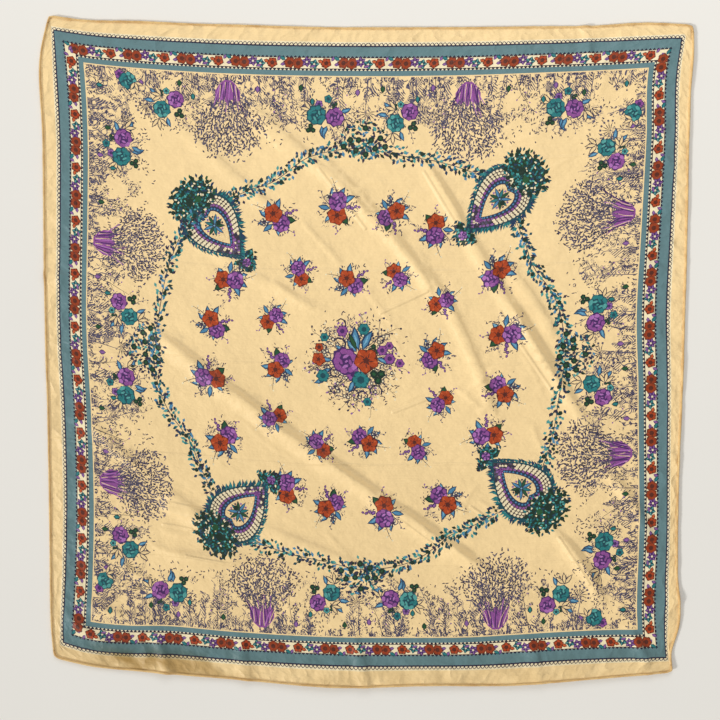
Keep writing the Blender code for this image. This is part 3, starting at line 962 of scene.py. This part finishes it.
def makeCloth(material):
    paintPrint()
    front = list(paintedShapes)
    paintedShapes.clear()
    paintThrough()
    rim = rimPath()
    topFlat, topFaces, topInks, topRim = cutCloth(front, rim, *clothForm["frontMesh"])
    lowFlat, lowFaces, lowInks, lowRim = cutCloth(paintedShapes, rim, *clothForm["backMesh"])
    print("print cut:", len(front), "shapes in", len(topFaces), "and", len(lowFaces), "triangles")
    points, ways = [], []
    for flat, side in ((topFlat, 1), (lowFlat, -1)):
        plan, height, way = relief.surface(flat)
        low = np.maximum(0, clothForm["underShare"] * height - clothForm["underDrop"])
        height = clothForm["clear"] + (height + clothForm["wall"] if side > 0 else low)
        points.append(np.column_stack((plan.real, plan.imag, height)) * mm)
        ways.append(way * side)
    count = len(topFlat)
    around = np.roll(np.arange(len(rim)), -1)
    edgeFaces = np.column_stack((topRim, topRim[around], lowRim[around] + count, lowRim + count))
    edgeFaces = np.concatenate((edgeFaces[:, [0, 3, 1]], edgeFaces[:, [1, 3, 2]]))
    faces = np.concatenate((topFaces, lowFaces[:, ::-1] + count, edgeFaces))
    mesh = bpy.data.meshes.new("printed_cloth")
    mesh.from_pydata(np.concatenate(points).tolist(), [], faces.tolist())

    flat = np.concatenate((topFlat, lowFlat))
    under = np.repeat((0.0, 1.0), (count, len(lowFlat)))
    place = mesh.attributes.new("flatPlace", "FLOAT_VECTOR", "POINT")
    place.data.foreach_set("vector", np.column_stack((flat.real, flat.imag, under)).ravel())
    inks = np.concatenate((topInks, lowInks, np.full(len(edgeFaces), -1)))
    ink = mesh.attributes.new("ink", "FLOAT_COLOR", "CORNER")
    ink.data.foreach_set("color", np.repeat(inkTable()[inks], 3, axis=0).ravel())
    layer = mesh.uv_layers.new(name="OFBake", do_init=False)
    layer.uv.foreach_set("vector", bakePlaces(flat, count, faces, len(edgeFaces)).ravel())
    mesh.materials.append(material)
    mesh.polygons.foreach_set("use_smooth", np.ones(len(faces), bool))
    mesh.normals_split_custom_set_from_vertices(np.concatenate(ways).tolist())
    return linked(bpy.data.objects.new("printed_silk_square", mesh))


class Wire:  # a socket of a node, which can be reckoned with like a number
    def __init__(self, bench, socket):
        self.bench, self.socket = bench, socket

    def maths(self, operation, *others):
        sockets = dict(enumerate((self, *others)))
        return self.bench.add("ShaderNodeMath", {"operation": operation}, sockets)

    def of(self, name):  # another output of the same node
        return Wire(self.bench, self.socket.node.outputs[name])

    def parts(self, kind):  # the three numbers of a vector or a colour
        split = self.bench.add(kind, {}, {0: self})
        return [Wire(self.bench, socket) for socket in split.socket.node.outputs[:3]]

    def __add__(self, other):
        return self.maths("ADD", other)

    def __sub__(self, other):
        return self.maths("SUBTRACT", other)

    def __rsub__(self, other):
        return (self * -1) + other

    def __mul__(self, other):
        return self.maths("MULTIPLY", other)

    def __truediv__(self, other):
        return self.maths("DIVIDE", other)

    def __abs__(self):
        return self.maths("ABSOLUTE")

    def __lt__(self, other):
        return self.maths("LESS_THAN", other)

    def __gt__(self, other):
        return self.maths("GREATER_THAN", other)

    __radd__, __rmul__ = __add__, __mul__


class Bench:  # one material and its nodes
    def __init__(self, name, **finish):
        self.material = bpy.data.materials.new(name)
        self.material.use_nodes = True
        self.tree = self.material.node_tree
        self.shader = self.tree.nodes["Principled BSDF"]
        for socket, value in finish.items():
            self.shader.inputs[socket].default_value = value

    def add(self, kind, settings=None, sockets=None):
        node = self.tree.nodes.new(kind)
        for name, value in (settings or {}).items():
            if name == "stops":
                self.setStops(node.color_ramp, value)
            elif name == "stepped":
                node.color_ramp.interpolation = "CONSTANT"
            else:
                setattr(node, name, value)
        for name, value in (sockets or {}).items():
            self.join(node.inputs[name], value)
        shown = [socket for socket in node.outputs if socket.enabled]
        return Wire(self, shown[0])

    def join(self, socket, value):
        if isinstance(value, Wire):
            self.tree.links.new(value.socket, socket)
        else:
            socket.default_value = value

    def setStops(self, ramp, stops):
        while len(ramp.elements) > 1:
            ramp.elements.remove(ramp.elements[0])
        for i, (place, colour) in enumerate(stops):
            stop = ramp.elements[0] if i == 0 else ramp.elements.new(place)
            stop.position = place
            stop.color = colour

    def finish(self, **sockets):
        for name, value in sockets.items():
            self.join(self.shader.inputs[name.replace("_", " ")], value)
        return self.material

    def vectors(self, operation, first, second):
        sockets = {0: first, "Scale" if operation == "SCALE" else 1: second}
        return self.add("ShaderNodeVectorMath", {"operation": operation}, sockets)

    def blend(self, share, first, second, way="MIX"):
        settings = {"data_type": "RGBA", "blend_type": way, "clamp_factor": True}
        return self.add("ShaderNodeMix", settings, {0: share, 6: first, 7: second})

    def noise(self, place, scale, detail=2.0, roughness=0.5):
        sockets = {"Vector": place, "Scale": scale, "Detail": detail, "Roughness": roughness}
        return self.add("ShaderNodeTexNoise", {}, sockets)

    def vector(self, x, y, z=0.0):
        return self.add("ShaderNodeCombineXYZ", {}, {0: x, 1: y, 2: z})

    def smooth(self, value, low, high):
        sockets = {"Value": value, "From Min": low, "From Max": high}
        return self.add("ShaderNodeMapRange", {"interpolation_type": "SMOOTHSTEP"}, sockets)


def strewLeaves(bench, place, size, heading, sweep, long, wide):
    # A scatter of brushed leaves over the place's first two axes: a mask and two random numbers.
    scaled = bench.vectors("SCALE", place, 1 / size)
    cell = bench.add("ShaderNodeTexVoronoi", {"voronoi_dimensions": "2D"}, {"Vector": scaled, "Scale": 1.0})
    x, y, _ = bench.vectors("SUBTRACT", scaled, cell.of("Position")).parts("ShaderNodeSeparateXYZ")
    chance, tint, keep = cell.of("Color").parts("ShaderNodeSeparateColor")
    turn = heading + (chance - 0.5) * sweep
    cosine, sine = turn.maths("COSINE"), turn.maths("SINE")
    bulge = (x * cosine + y * sine) / long
    aside = abs(y * cosine - x * sine)
    return aside < (1 - bulge * bulge) * wide, tint, keep


bandStops = (  # each of the frame's bands: where it starts, how far from there, and its colour
    (None, 0, "ground"), ("field", 0, "band"), ("narrowBand", 0, "pale"),
    ("innerTeeth", -0.2, "night"), ("innerTeeth", 0.7, "pale"),
    ("flowerStrip", -0.5, "night"), ("flowerStrip", 0.5, "band"),
    ("wideBand", 0, "night"), ("wideBand", 0.7, "pale"), ("ladder", 0, "ground"),
)


def paintBands(bench, reach, side, colour):  # the toothed bands, and the ladder outside them
    form, full = printForm, clothForm["flatSide"] / 2
    stops = [((form[name] + more if name else 0) / full, colour[shade]) for name, more, shade in bandStops]
    page = bench.add("ShaderNodeValToRGB", {"stops": stops, "stepped": True}, {"Fac": reach / full})
    tooth = abs((side / form["toothPitch"]).maths("FRACT") - 0.5) * 2
    teeth = 0
    for foot, tip in (("flowerStrip", "outerTeeth"), ("innerTeeth", "narrowBand")):
        row = (reach - form[foot]) / (form[tip] - form[foot])
        teeth = (row > 0) * (row < 1.15 - tooth) + teeth
    page = bench.blend(teeth < 0.5, colour["night"], page)
    onLadder = (reach > form["wideBand"]) * (reach < form["ladder"])
    lean = (reach - form["wideBand"]) / form["ladderPitch"] * 0.95
    rung = side / form["ladderPitch"]
    rung = ((rung + lean).maths("FRACT") < 0.27).maths("MAXIMUM", (rung - lean).maths("FRACT") < 0.22)
    return bench.blend(rung * onLadder, page, colour["ink"])


class BorderPlace:  # a place along the field's edge, read from the left of its own side
    def __init__(self, bench, x, y, reach):
        upright = abs(x) > abs(y)
        self.run = x * y.maths("SIGN") * (1 - upright) - y * x.maths("SIGN") * upright
        self.quarter = (x > 0) * 1000 + (y > 0) * 2300 + upright * 4100  # sets the sides apart
        self.depth = printForm["field"] - reach
        self.spot = bench.vector(self.run + self.quarter, self.depth)
        self.clump = bench.noise(self.spot, 0.05, 2.0)
        self.flow = bench.noise(self.spot, 0.07, 1.0)
        self.inField = self.depth > 0.4


herbLook = {  # depths are from the field's edge inwards
    "leafSize": 3.9,
    "herbLeaf": (0.95, 0.66, 0.17),  # its share of that size, then its half length and width
    "fringe": (3.0, 22.0, 0.8),  # thickest up to here, none from here, share of the leaves kept
    "tufts": (54.0, 88.0, 0.95),
    "tuftClumps": (0.43, 0.55),
    "bouquet": (56.0, 86.0, 0.85),  # the same round the middle of the cloth
    "sketched": 0.6,
    "wander": 34.0,  # how far the bouquet's edge goes in and out
    "ferns": ((18.5, 72.0), (27.0, 64.0)),  # how far apart, and how tall
    "frondPitch": 4.1,
    "frondSlope": 1.3,
    "frondShare": 0.74,
    "twigs": (0.17, 1.5, 7, 0.095),  # scale, detail, twigs to a hill of the noise, half width
}


def paintHerbs(bench, page, border, middle, sketched, colour):
    look, depth, clump, flow = herbLook, border.depth, border.clump, border.flow
    full, none, most = look["fringe"]
    fringe = (1 - bench.smooth(depth, full, none)) * most
    full, none, most = look["tufts"]
    tufts = bench.smooth(clump, *look["tuftClumps"]) * (1 - bench.smooth(depth, full, none)) * most
    kept = fringe.maths("MAXIMUM", tufts) * (0.5 + clump * 0.6) * border.inField
    full, none, most = look["bouquet"]
    around = middle + clump * look["wander"]
    kept = kept + (1 - bench.smooth(around, full, none)) * most + sketched * look["sketched"]
    heading = math.pi / 2 + (flow - 0.5) * 7
    share, *leafShape = look["herbLeaf"]
    herbs, _, keep = strewLeaves(bench, border.spot, look["leafSize"] * share, heading, 2.2, *leafShape)
    for pitch, tall in look["ferns"]:
        column = (border.run + border.quarter + (flow - 0.5) * depth * 0.9) / pitch
        chance = bench.add("ShaderNodeTexWhiteNoise", {"noise_dimensions": "1D"},
                           {"W": column.maths("FLOOR") + pitch})
        aside = abs((column.maths("FRACT") - 0.5) * pitch - (chance - 0.5) * depth * 0.25)
        high = chance * chance * tall + clump * 46 - 13
        reachOut = ((high - depth) * 0.42).maths("MINIMUM", pitch * 0.46)
        frond = (depth - aside * look["frondSlope"] + chance * 9) / look["frondPitch"] + flow * 7
        frond = (frond.maths("FRACT") < 0.4) * (keep < look["frondShare"])
        frond = frond.maths("MAXIMUM", aside < 0.5) * (aside < reachOut) * border.inField
        page = bench.blend(frond, page, colour["line"])
    page = bench.blend(herbs * (keep < kept * 0.85), page, colour["ink"])
    scale, detail, count, half = look["twigs"]
    contour = bench.noise(border.spot, scale, detail) * count
    twigs = abs(contour.maths("FRACT") - 0.5) < half
    return bench.blend(twigs * (flow < kept * 0.72), page, colour["line"])


bushLook = {
    "foot": 8.0,  # how deep in the field its stems spring from
    "spread": (0.52, 0.86),  # radians to either side: thick up to here, none from here
    "crown": (86.0, 108.0),  # the same outwards
    "bare": (10.0, 26.0),  # no leaves up to here, thick from here
    "flatness": 40.0,
    "strands": (34.0, 0.42, 0.95),  # how many in a whole turn, how much they vary, about what share
    "leafShape": (0.76, 0.22),
    "layers": ((0, 1.0), (37, 0.84)),  # where each layer's scatter is read from, and its leaves' share
}


def paintBushes(bench, page, border, colour):  # fan-shaped crowns of small leaves
    look, depth, clump, flow = bushLook, border.depth, border.clump, border.flow
    left, right = borderForm["bushes"]
    aside = border.run - left + (border.run > (left + right) / 2) * (left - right)
    up = depth - look["foot"]
    bearing = aside.maths("ARCTAN2", up)
    far = (aside * aside + up * up).maths("SQRT")
    count, change, mean = look["strands"]
    strands = (bearing * count + clump * 16 + flow * 9).maths("SINE") * change + mean
    crown = far + bearing * bearing * look["flatness"] + clump * 18
    share = (1 - bench.smooth(abs(bearing), *look["spread"])) * (1 - bench.smooth(crown, *look["crown"]))
    share = share * bench.smooth(far, *look["bare"]) * strands
    heading = math.pi / 2 - bearing + (flow - 0.5) * 4
    for start, size in look["layers"]:
        spot = bench.vector(border.run + border.quarter + start, depth + start)
        leaves, tint, keep = strewLeaves(bench, spot, herbLook["leafSize"] * size, heading, 2.3,
                                         *look["leafShape"])
        shade = bench.blend(tint < 0.55, colour["ink"], colour["line"])
        page = bench.blend(leaves * (keep < share) * border.inField, page, shade)
    return page


def paintPage(bench, x, y, sketched):  # all that the material draws on the plain ground
    colour = {name: inLight(shade) for name, shade in inkColours.items()}
    reach = abs(x).maths("MAXIMUM", abs(y))
    page = paintBands(bench, reach, abs(x).maths("MINIMUM", abs(y)), colour)
    border = BorderPlace(bench, x, y, reach)
    page = paintHerbs(bench, page, border, (x * x + y * y).maths("SQRT"), sketched, colour)
    return paintBushes(bench, page, border, colour)


def fillFoliage(bench, place):  # close-set leaves, for the dense clumps of the print
    names = ("tealDark", "teal", "greenDark", "blueDark", "tealDark", "tealLight", "teal", "pale", "green")
    stops = [(i / len(names), inLight(inkColours[name])) for i, name in enumerate(names)]
    leaves, tint, _ = strewLeaves(bench, place, 3.0, 0.0, anyTurn[1], 0.7, 0.34)
    leafShade = bench.add("ShaderNodeValToRGB", {"stops": stops, "stepped": True}, {"Fac": tint})
    return bench.blend(leaves, inLight(inkColours["greenDark"]), leafShade)


silkLook = {
    "roughness": 0.48,
    "sheen": 0.35,
    "gloss": 0.35,  # how strongly the surface mirrors at all
    "weavePitch": 0.55,  # millimetres between threads
    "weaveDepth": 0.02,
    "slub": 0.14,  # how much lighter or darker the thick and thin threads make it
    "slubDepth": 0.14,
    "cloudiness": 0.16,  # slow change of tone over the cloth
    "mottle": 0.05,
    "crinkle": 3.8,
    "pucker": 17.0,  # along the hemmed edges
    "puckerFrom": (325.0, 384.0),
    "inkPatchy": 0.5,
    "inkLines": 0.4,  # the fine dark drawing in the flowers and leaves
    "showThrough": 0.5,  # how far the back is paler than the front
}
pressedLook = {  # the creases too thin for the mesh
    "rise": 1.5,
    "half": 3.2,
    "least": (1.0, 1.9),  # the mesh's narrow and wide creases get one along the top from this rise
    "narrow": 6.0,
    "levelRise": 2.2,  # the same for the press lines
    "levelHalf": 2.6,
    "levelWander": 14.0,
}
shadeAndToneLook = {  # how much darker and yellower the silk is, and where: painted shade and a painted shadow along the lower edge, and a darker tone round the margin and towards the bottom
    "edge": (350.0, 386.0, 0.02),  # from here, in full from here, how much
    # painted shade along the lower edge, deepest left of the middle
    "lowEdgeShade": (345.0, 384.0, 0.22),
    "lowEdgeShadeWorst": (-250.0, 50.0, 120.0),  # its middle, in full up to here, least from here
    "patches": (0.03, 0.3, 0.62, 1.4),  # scale, none up to here, in full from here, how much
    # a painted shadow low in the margin at the left: its middle, then its reach, flatness and depth
    "paintedShadow": (-285.0, -376.875),
    "paintedShadowWide": 105.0,
    "paintedShadowFlatness": 3.2,
    "paintedShadowShare": 0.15,
    "lowerPart": (-150.0, 250.0, 0.035),  # the upper part is bleached
    "tint": (1.0, 1.15, 1.45),  # darker and yellower towards the bottom: from here, in full from here, how much
}


def pressedLines(bench, place):  # thin sharp creases, as a height
    look, high = pressedLook, 0
    for start, _, end, rise, half in foldForm["creases"]:
        if rise > look["least"][0 if half < look["narrow"] else 1]:
            run = (end.real - start.real, end.imag - start.imag, 0)
            offset = bench.vectors("SUBTRACT", place, (start.real, start.imag, 0))
            share = bench.vectors("DOT_PRODUCT", offset, run) / abs(end - start) ** 2
            share = share.maths("MAXIMUM", 0.0).maths("MINIMUM", 1.0)
            gap = bench.vectors("DISTANCE", offset, bench.vectors("SCALE", run, share))
            high = (1 - bench.smooth(gap, 0.0, look["half"])) * min(1, rise) * look["rise"] + high
    wander = (bench.noise(place, 0.008, 1.0) - 0.5) * look["levelWander"]
    level = place.parts("ShaderNodeSeparateXYZ")[1] + wander
    for middle, rise, _ in foldForm["pressLines"]:
        gap = abs(level - middle)
        high = (1 - bench.smooth(gap, 0.0, look["levelHalf"])) * rise * look["levelRise"] + high
    return high


def shadeAndToneShare(bench, x, y, level, reach):  # how far the silk is darker at a place: painted shade and a painted shadow along the lower edge, and a darker tone round the margin and towards the bottom
    start, full, most = shadeAndToneLook["edge"]
    shadeAndTone = bench.smooth(reach, start, full) * most
    # painted shade along the lower edge, deepest left of the middle
    start, full, most = shadeAndToneLook["lowEdgeShade"]
    middle, near, away = shadeAndToneLook["lowEdgeShadeWorst"]
    worst = 1.15 - bench.smooth(abs(x - middle), near, away) * 0.8
    shadeAndTone = shadeAndTone + bench.smooth(y * -1, start, full) * most * worst
    scale, start, full, most = shadeAndToneLook["patches"]
    shadeAndTone = shadeAndTone * bench.smooth(bench.noise(level, scale, 2.0), start, full) * most
    # a painted shadow low in the margin at the left
    flatness, (paintedShadowX, paintedShadowY) = shadeAndToneLook["paintedShadowFlatness"], shadeAndToneLook["paintedShadow"]
    paintedShadow = bench.vectors("DISTANCE", bench.vector(x, y * flatness), (paintedShadowX, paintedShadowY * flatness, 0))
    shadeAndTone = shadeAndTone + (1 - bench.smooth(paintedShadow, 0.0, shadeAndToneLook["paintedShadowWide"])) * shadeAndToneLook["paintedShadowShare"]
    start, full, most = shadeAndToneLook["lowerPart"]
    return shadeAndTone + bench.smooth(y * -1, start, full) * most


def printedSilk():
    look = silkLook
    bench = Bench("printed_silk", **{
        "Roughness": look["roughness"], "Sheen Weight": look["sheen"],
        "Sheen Roughness": 0.4, "Specular IOR Level": look["gloss"],
    })
    place = bench.add("ShaderNodeAttribute", {"attribute_name": "flatPlace"}).of("Vector")
    x, y, under = place.parts("ShaderNodeSeparateXYZ")
    level = bench.vector(x, y)
    reach = abs(x).maths("MAXIMUM", abs(y))

    # The ink's alpha tells an ink of its own, the foliage, the sketched page and the plain page.
    ink = bench.add("ShaderNodeVertexColor", {"layer_name": "ink"})
    fill = ink.of("Alpha")
    sketched = (fill > 0.1) * (fill < 0.3)
    shade = bench.blend(fill > 0.3, paintPage(bench, x, y, sketched), fillFoliage(bench, level))
    drawn = abs((bench.noise(level, 0.42, 1.0) * 7).maths("FRACT") - 0.5) < 0.1
    patchy = 1 + (bench.noise(level, 0.5, 2.0) - 0.5) * look["inkPatchy"] - drawn * look["inkLines"]
    inked = bench.blend(1.0, ink, bench.vector(patchy, patchy, patchy), "MULTIPLY")
    shade = bench.blend(fill > 0.75, shade, inked)
    shade = bench.blend(under * look["showThrough"], shade, inLight(inkColours["ground"]))

    threads = bench.noise(bench.vector(x * 0.012, y * 1.1), 1.0, 3.0, 0.6)
    cloud = bench.noise(level, 0.011, 3.0)
    mottle = bench.noise(level, 0.35, 2.0)
    tone = 1 + (threads - 0.5) * look["slub"] + (cloud - 0.5) * look["cloudiness"]
    tone = tone + (mottle - 0.5) * look["mottle"]
    # painted shade and a painted shadow along the lower edge, with the margin's darker tone
    shadeAndTone = shadeAndToneShare(bench, x, y, level, reach)
    tone = bench.vector(*(tone - shadeAndTone * much for much in shadeAndToneLook["tint"]))
    shade = bench.blend(1.0, shade, tone, "MULTIPLY")

    pitch = 2 * math.pi / look["weavePitch"]
    weave = (x * pitch).maths("SINE") * (y * pitch).maths("SINE")
    crinkle = bench.noise(bench.vector(x * 0.045 + y * 0.02, y * 0.06 - x * 0.01), 1.0, 4.0, 0.55)
    pucker = abs(bench.noise(level, 0.026, 2.5) - 0.5) * bench.smooth(reach, *look["puckerFrom"])
    high = weave * look["weaveDepth"] + crinkle * look["crinkle"] + threads * look["slubDepth"]
    high = high - pucker * look["pucker"] + pressedLines(bench, level)
    bump = bench.add("ShaderNodeBump", {}, {"Height": high, "Distance": mm, "Strength": 0.7})
    roughness = look["roughness"] + (mottle - 0.5) * 0.1
    return bench.finish(Base_Color=shade, Roughness=roughness, Normal=bump)


hemForm = {
    "roll": clothForm["hemRadius"],
    "sides": 8,
    "step": 2.6,  # along the roll
    "unevenness": (0.12, (1.2, 9)),  # how far the rolled edge swells and thins, over how many steps
    "wander": (0.45, (4, 20)),  # the same to either side
    "gap": 0.3,  # between one side's roll and the next one's
    "stitchPitch": 8.0,
    "stitchWander": 0.15,  # as a share of the pitch
    "stitchSlant": 1.6,
    "stitchSteps": 7,
    "stitchEnds": (0.1, 0.35),  # radians that it goes past half a turn, outside and inside
    "threadRadius": 0.17,
    "threadSides": 4,
    "silk": (226, 190, 128),
    "shadow": (190, 146, 84),
    "thread": (236, 204, 146),
}


def hemRun(name):  # the flat line under one side's roll: two of them turn the corners
    half = clothForm["flatSide"] / 2 - hemForm["roll"]
    radius, steps = clothForm["cornerRadius"], clothForm["cornerSteps"]
    level = name in ("upper", "lower")
    reach = half - radius - (0 if level else hemForm["gap"])
    straight = np.linspace(-reach, reach, round(2 * reach / hemForm["step"])) + 1j * half
    if level:
        bend = radius * np.exp(0.5j * np.pi * np.arange(1, steps + 1) / steps)
        ahead = reach + 1j * (half - radius) + bend.conj() * 1j
        straight = np.concatenate((-ahead.conj()[::-1], straight, ahead))
    return straight * edgeEnds[name][2] / 1j


def tube(path, ups, radii, sides):  # rings round a path in space, closed at both ends
    runs = np.gradient(path, axis=0)
    runs /= np.linalg.norm(runs, axis=1)[:, None]
    out = np.cross(runs, ups)
    out /= np.linalg.norm(out, axis=1)[:, None]
    ups = np.cross(out, runs)
    turns = 2 * np.pi * np.arange(sides) / sides
    rings = path[:, None] + radii[:, None, None] * (
        np.cos(turns)[:, None] * out[:, None] + np.sin(turns)[:, None] * ups[:, None])
    faces = []
    for ring in range(len(path) - 1):
        for i in range(sides):
            a, b = ring * sides + i, ring * sides + (i + 1) % sides
            faces.append((a, a + sides, b + sides, b))
    last = (len(path) - 1) * sides
    faces += [tuple(range(sides)), tuple(range(last + sides - 1, last - 1, -1))]
    return rings.reshape(-1, 3), faces


def addPiece(name, points, faces, material):
    mesh = bpy.data.meshes.new(name)
    mesh.from_pydata((np.asarray(points) * mm).tolist(), [], faces)
    mesh.materials.append(material)
    mesh.polygons.foreach_set("use_smooth", np.ones(len(mesh.polygons), bool))
    return linked(bpy.data.objects.new(name, mesh))


def wobble(count, size, reach):  # a slow, even-handed unevenness along a run
    spots = np.arange(count)
    waves = [np.sin(spots / draws.uniform(*reach) + draws.uniform(*anyTurn)) for _ in range(4)]
    return size * sum(waves) / len(waves)


def rollHem(name, material):
    flat = hemRun(name)
    radii = hemForm["roll"] * (1 + wobble(len(flat), *hemForm["unevenness"]))
    flat = flat + edgeEnds[name][2] * wobble(len(flat), *hemForm["wander"])
    plan, height, _ = relief.surface(flat)
    path = np.column_stack((plan.real, plan.imag, height + radii))
    ups = np.tile((0.0, 0.0, 1.0), (len(path), 1))
    points, faces = tube(path, ups, radii, hemForm["sides"])
    return addPiece(f"rolled_hem_{name}_edge", points, faces, material), path, radii


def whipStitches(name, path, radii, material):
    pitch, thread, steps = hemForm["stitchPitch"], hemForm["threadRadius"], hemForm["stitchSteps"]
    points, faces = [], []
    lengths = np.concatenate(([0], np.cumsum(np.linalg.norm(np.diff(path, axis=0), axis=1))))
    up, (outside, inside) = np.array((0, 0, 1)), hemForm["stitchEnds"]
    for k in range(int(lengths[-1] / pitch)):
        at = (k + 0.5 + draws.uniform(-1, 1) * hemForm["stitchWander"]) * pitch
        middle, ahead = (np.array([np.interp(spot, lengths, path[:, axis]) for axis in range(3)])
                         for spot in (at, at + 1))
        ahead -= middle
        ahead /= np.linalg.norm(ahead)
        out = np.cross(ahead, up)
        radius = np.interp(at, lengths, radii) + thread * 0.4
        arc = np.array([middle + radius * (math.cos(t) * out + math.sin(t) * up)
                        + ahead * hemForm["stitchSlant"] * (t / np.pi - 0.5)
                        for t in np.linspace(-outside, np.pi + inside, steps)])
        arc[:, 2] = np.maximum(arc[:, 2], thread)
        ring, quads = tube(arc, np.tile(ahead, (steps, 1)), np.full(steps, thread), hemForm["threadSides"])
        faces += [tuple(len(points) + i for i in quad) for quad in quads]
        points += ring.tolist()
    return addPiece(f"whip_stitches_{name}", points, faces, material)


def rolledSilk():
    bench = Bench("rolled_silk", **{"Roughness": 0.55, "Sheen Weight": 0.3, "Specular IOR Level": 0.3})
    place = bench.add("ShaderNodeTexCoord").of("Object")
    patches = bench.noise(place, 60.0, 3.0)
    threads = bench.noise(place, 900.0, 2.0)
    silk, shadow = inLight(hemForm["silk"]), inLight(hemForm["shadow"])
    shade = bench.blend(bench.smooth(patches, 0.35, 0.75) * 0.8, silk, shadow)
    high = threads * 0.2 + patches * 0.5
    bump = bench.add("ShaderNodeBump", {}, {"Height": high, "Distance": mm, "Strength": 0.5})
    return bench.finish(Base_Color=shade, Roughness=0.5 + threads * 0.1, Normal=bump)


def stitchThread():
    bench = Bench("stitch_thread", **{"Roughness": 0.5, "Sheen Weight": 0.2})
    place = bench.add("ShaderNodeTexCoord").of("Object")
    strands = bench.noise(place, 1500.0, 2.0)
    thread, shadow = inLight(hemForm["thread"]), inLight(hemForm["shadow"])
    shade = bench.blend(strands * 0.7, thread, shadow)
    bump = bench.add("ShaderNodeBump", {}, {"Height": strands, "Distance": 0.2 * mm})
    return bench.finish(Base_Color=shade, Roughness=0.45 + strands * 0.15, Normal=bump)


cloth = makeCloth(printedSilk())
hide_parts("cloth_square")
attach(cloth, "root")
print("cloth laid out")

hemSilk, thread = rolledSilk(), stitchThread()
for sideName in edgeEnds:
    roll, rollPath, rollRadii = rollHem(sideName, hemSilk)
    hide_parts(f"rolled_hem_{sideName}")
    stitches = whipStitches(sideName, rollPath, rollRadii, thread)
    for piece in (roll, stitches):
        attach(piece, "root")
print("edges rolled and stitched")

studio = {
    "floor": (238, 235, 228),
    "floorReach": 4000.0,
    "view": (-7.7, -10.1),  # the point of the cloth that the camera looks down on
    "cameraHeight": 1440.0,
    "lens": 60.0,
    "sky": (1.0, 0.99, 0.975, 1.0),
    "skyLight": 0.5,
    "sidePlace": (-1500.0, -700.0, 860.0),
    "sidePower": 2.1,
    "sideSoftness": 10.0,  # degrees
    "topPlace": (200.0, 1700.0, 1500.0),
    "topPower": 14.0,
    "topSize": 1200.0,
}


def makeFloor():
    bench = Bench("pale_floor", **{"Roughness": 0.9, "Specular IOR Level": 0.1})
    place = bench.add("ShaderNodeTexCoord").of("Object")
    grain = bench.noise(place, 3.0, 3.0)
    pale, duller = (inLight([shade - less for shade in studio["floor"]]) for less in (0, 5))
    material = bench.finish(Base_Color=bench.blend(grain, pale, duller))
    reach = studio["floorReach"]
    corners = [(x * reach, y * reach, 0) for x, y in ((-1, -1), (1, -1), (1, 1), (-1, 1))]
    floor = addPiece("floor", corners, [(0, 1, 2, 3)], material)
    return floor


def addLamp(name, kind, place, power, size):
    lamp = bpy.data.lights.new(name, kind)
    lamp.energy = power
    if kind == "SUN":
        lamp.angle = math.radians(size)
    else:
        lamp.size = size * mm
    holder = linked(bpy.data.objects.new(name, lamp))
    holder.location = Vector(place) * mm
    holder.rotation_euler = (-holder.location).to_track_quat("-Z", "Y").to_euler()


floor = makeFloor()
addLamp("side_light", "SUN", studio["sidePlace"], studio["sidePower"], studio["sideSoftness"])
addLamp("top_light", "AREA", studio["topPlace"], studio["topPower"], studio["topSize"])
world = bpy.data.worlds.new("studio")
world.use_nodes = True
sky = world.node_tree.nodes["Background"]
sky.inputs["Color"].default_value = studio["sky"]
sky.inputs["Strength"].default_value = studio["skyLight"]
bpy.context.scene.world = world
bpy.context.scene.view_settings.view_transform = "Standard"

lens = bpy.data.cameras.new("camera")
lens.lens = studio["lens"]
camera = linked(bpy.data.objects.new("camera", lens))
camera.location = Vector((*studio["view"], studio["cameraHeight"])) * mm
bpy.context.scene.camera = camera
print("studio set up")
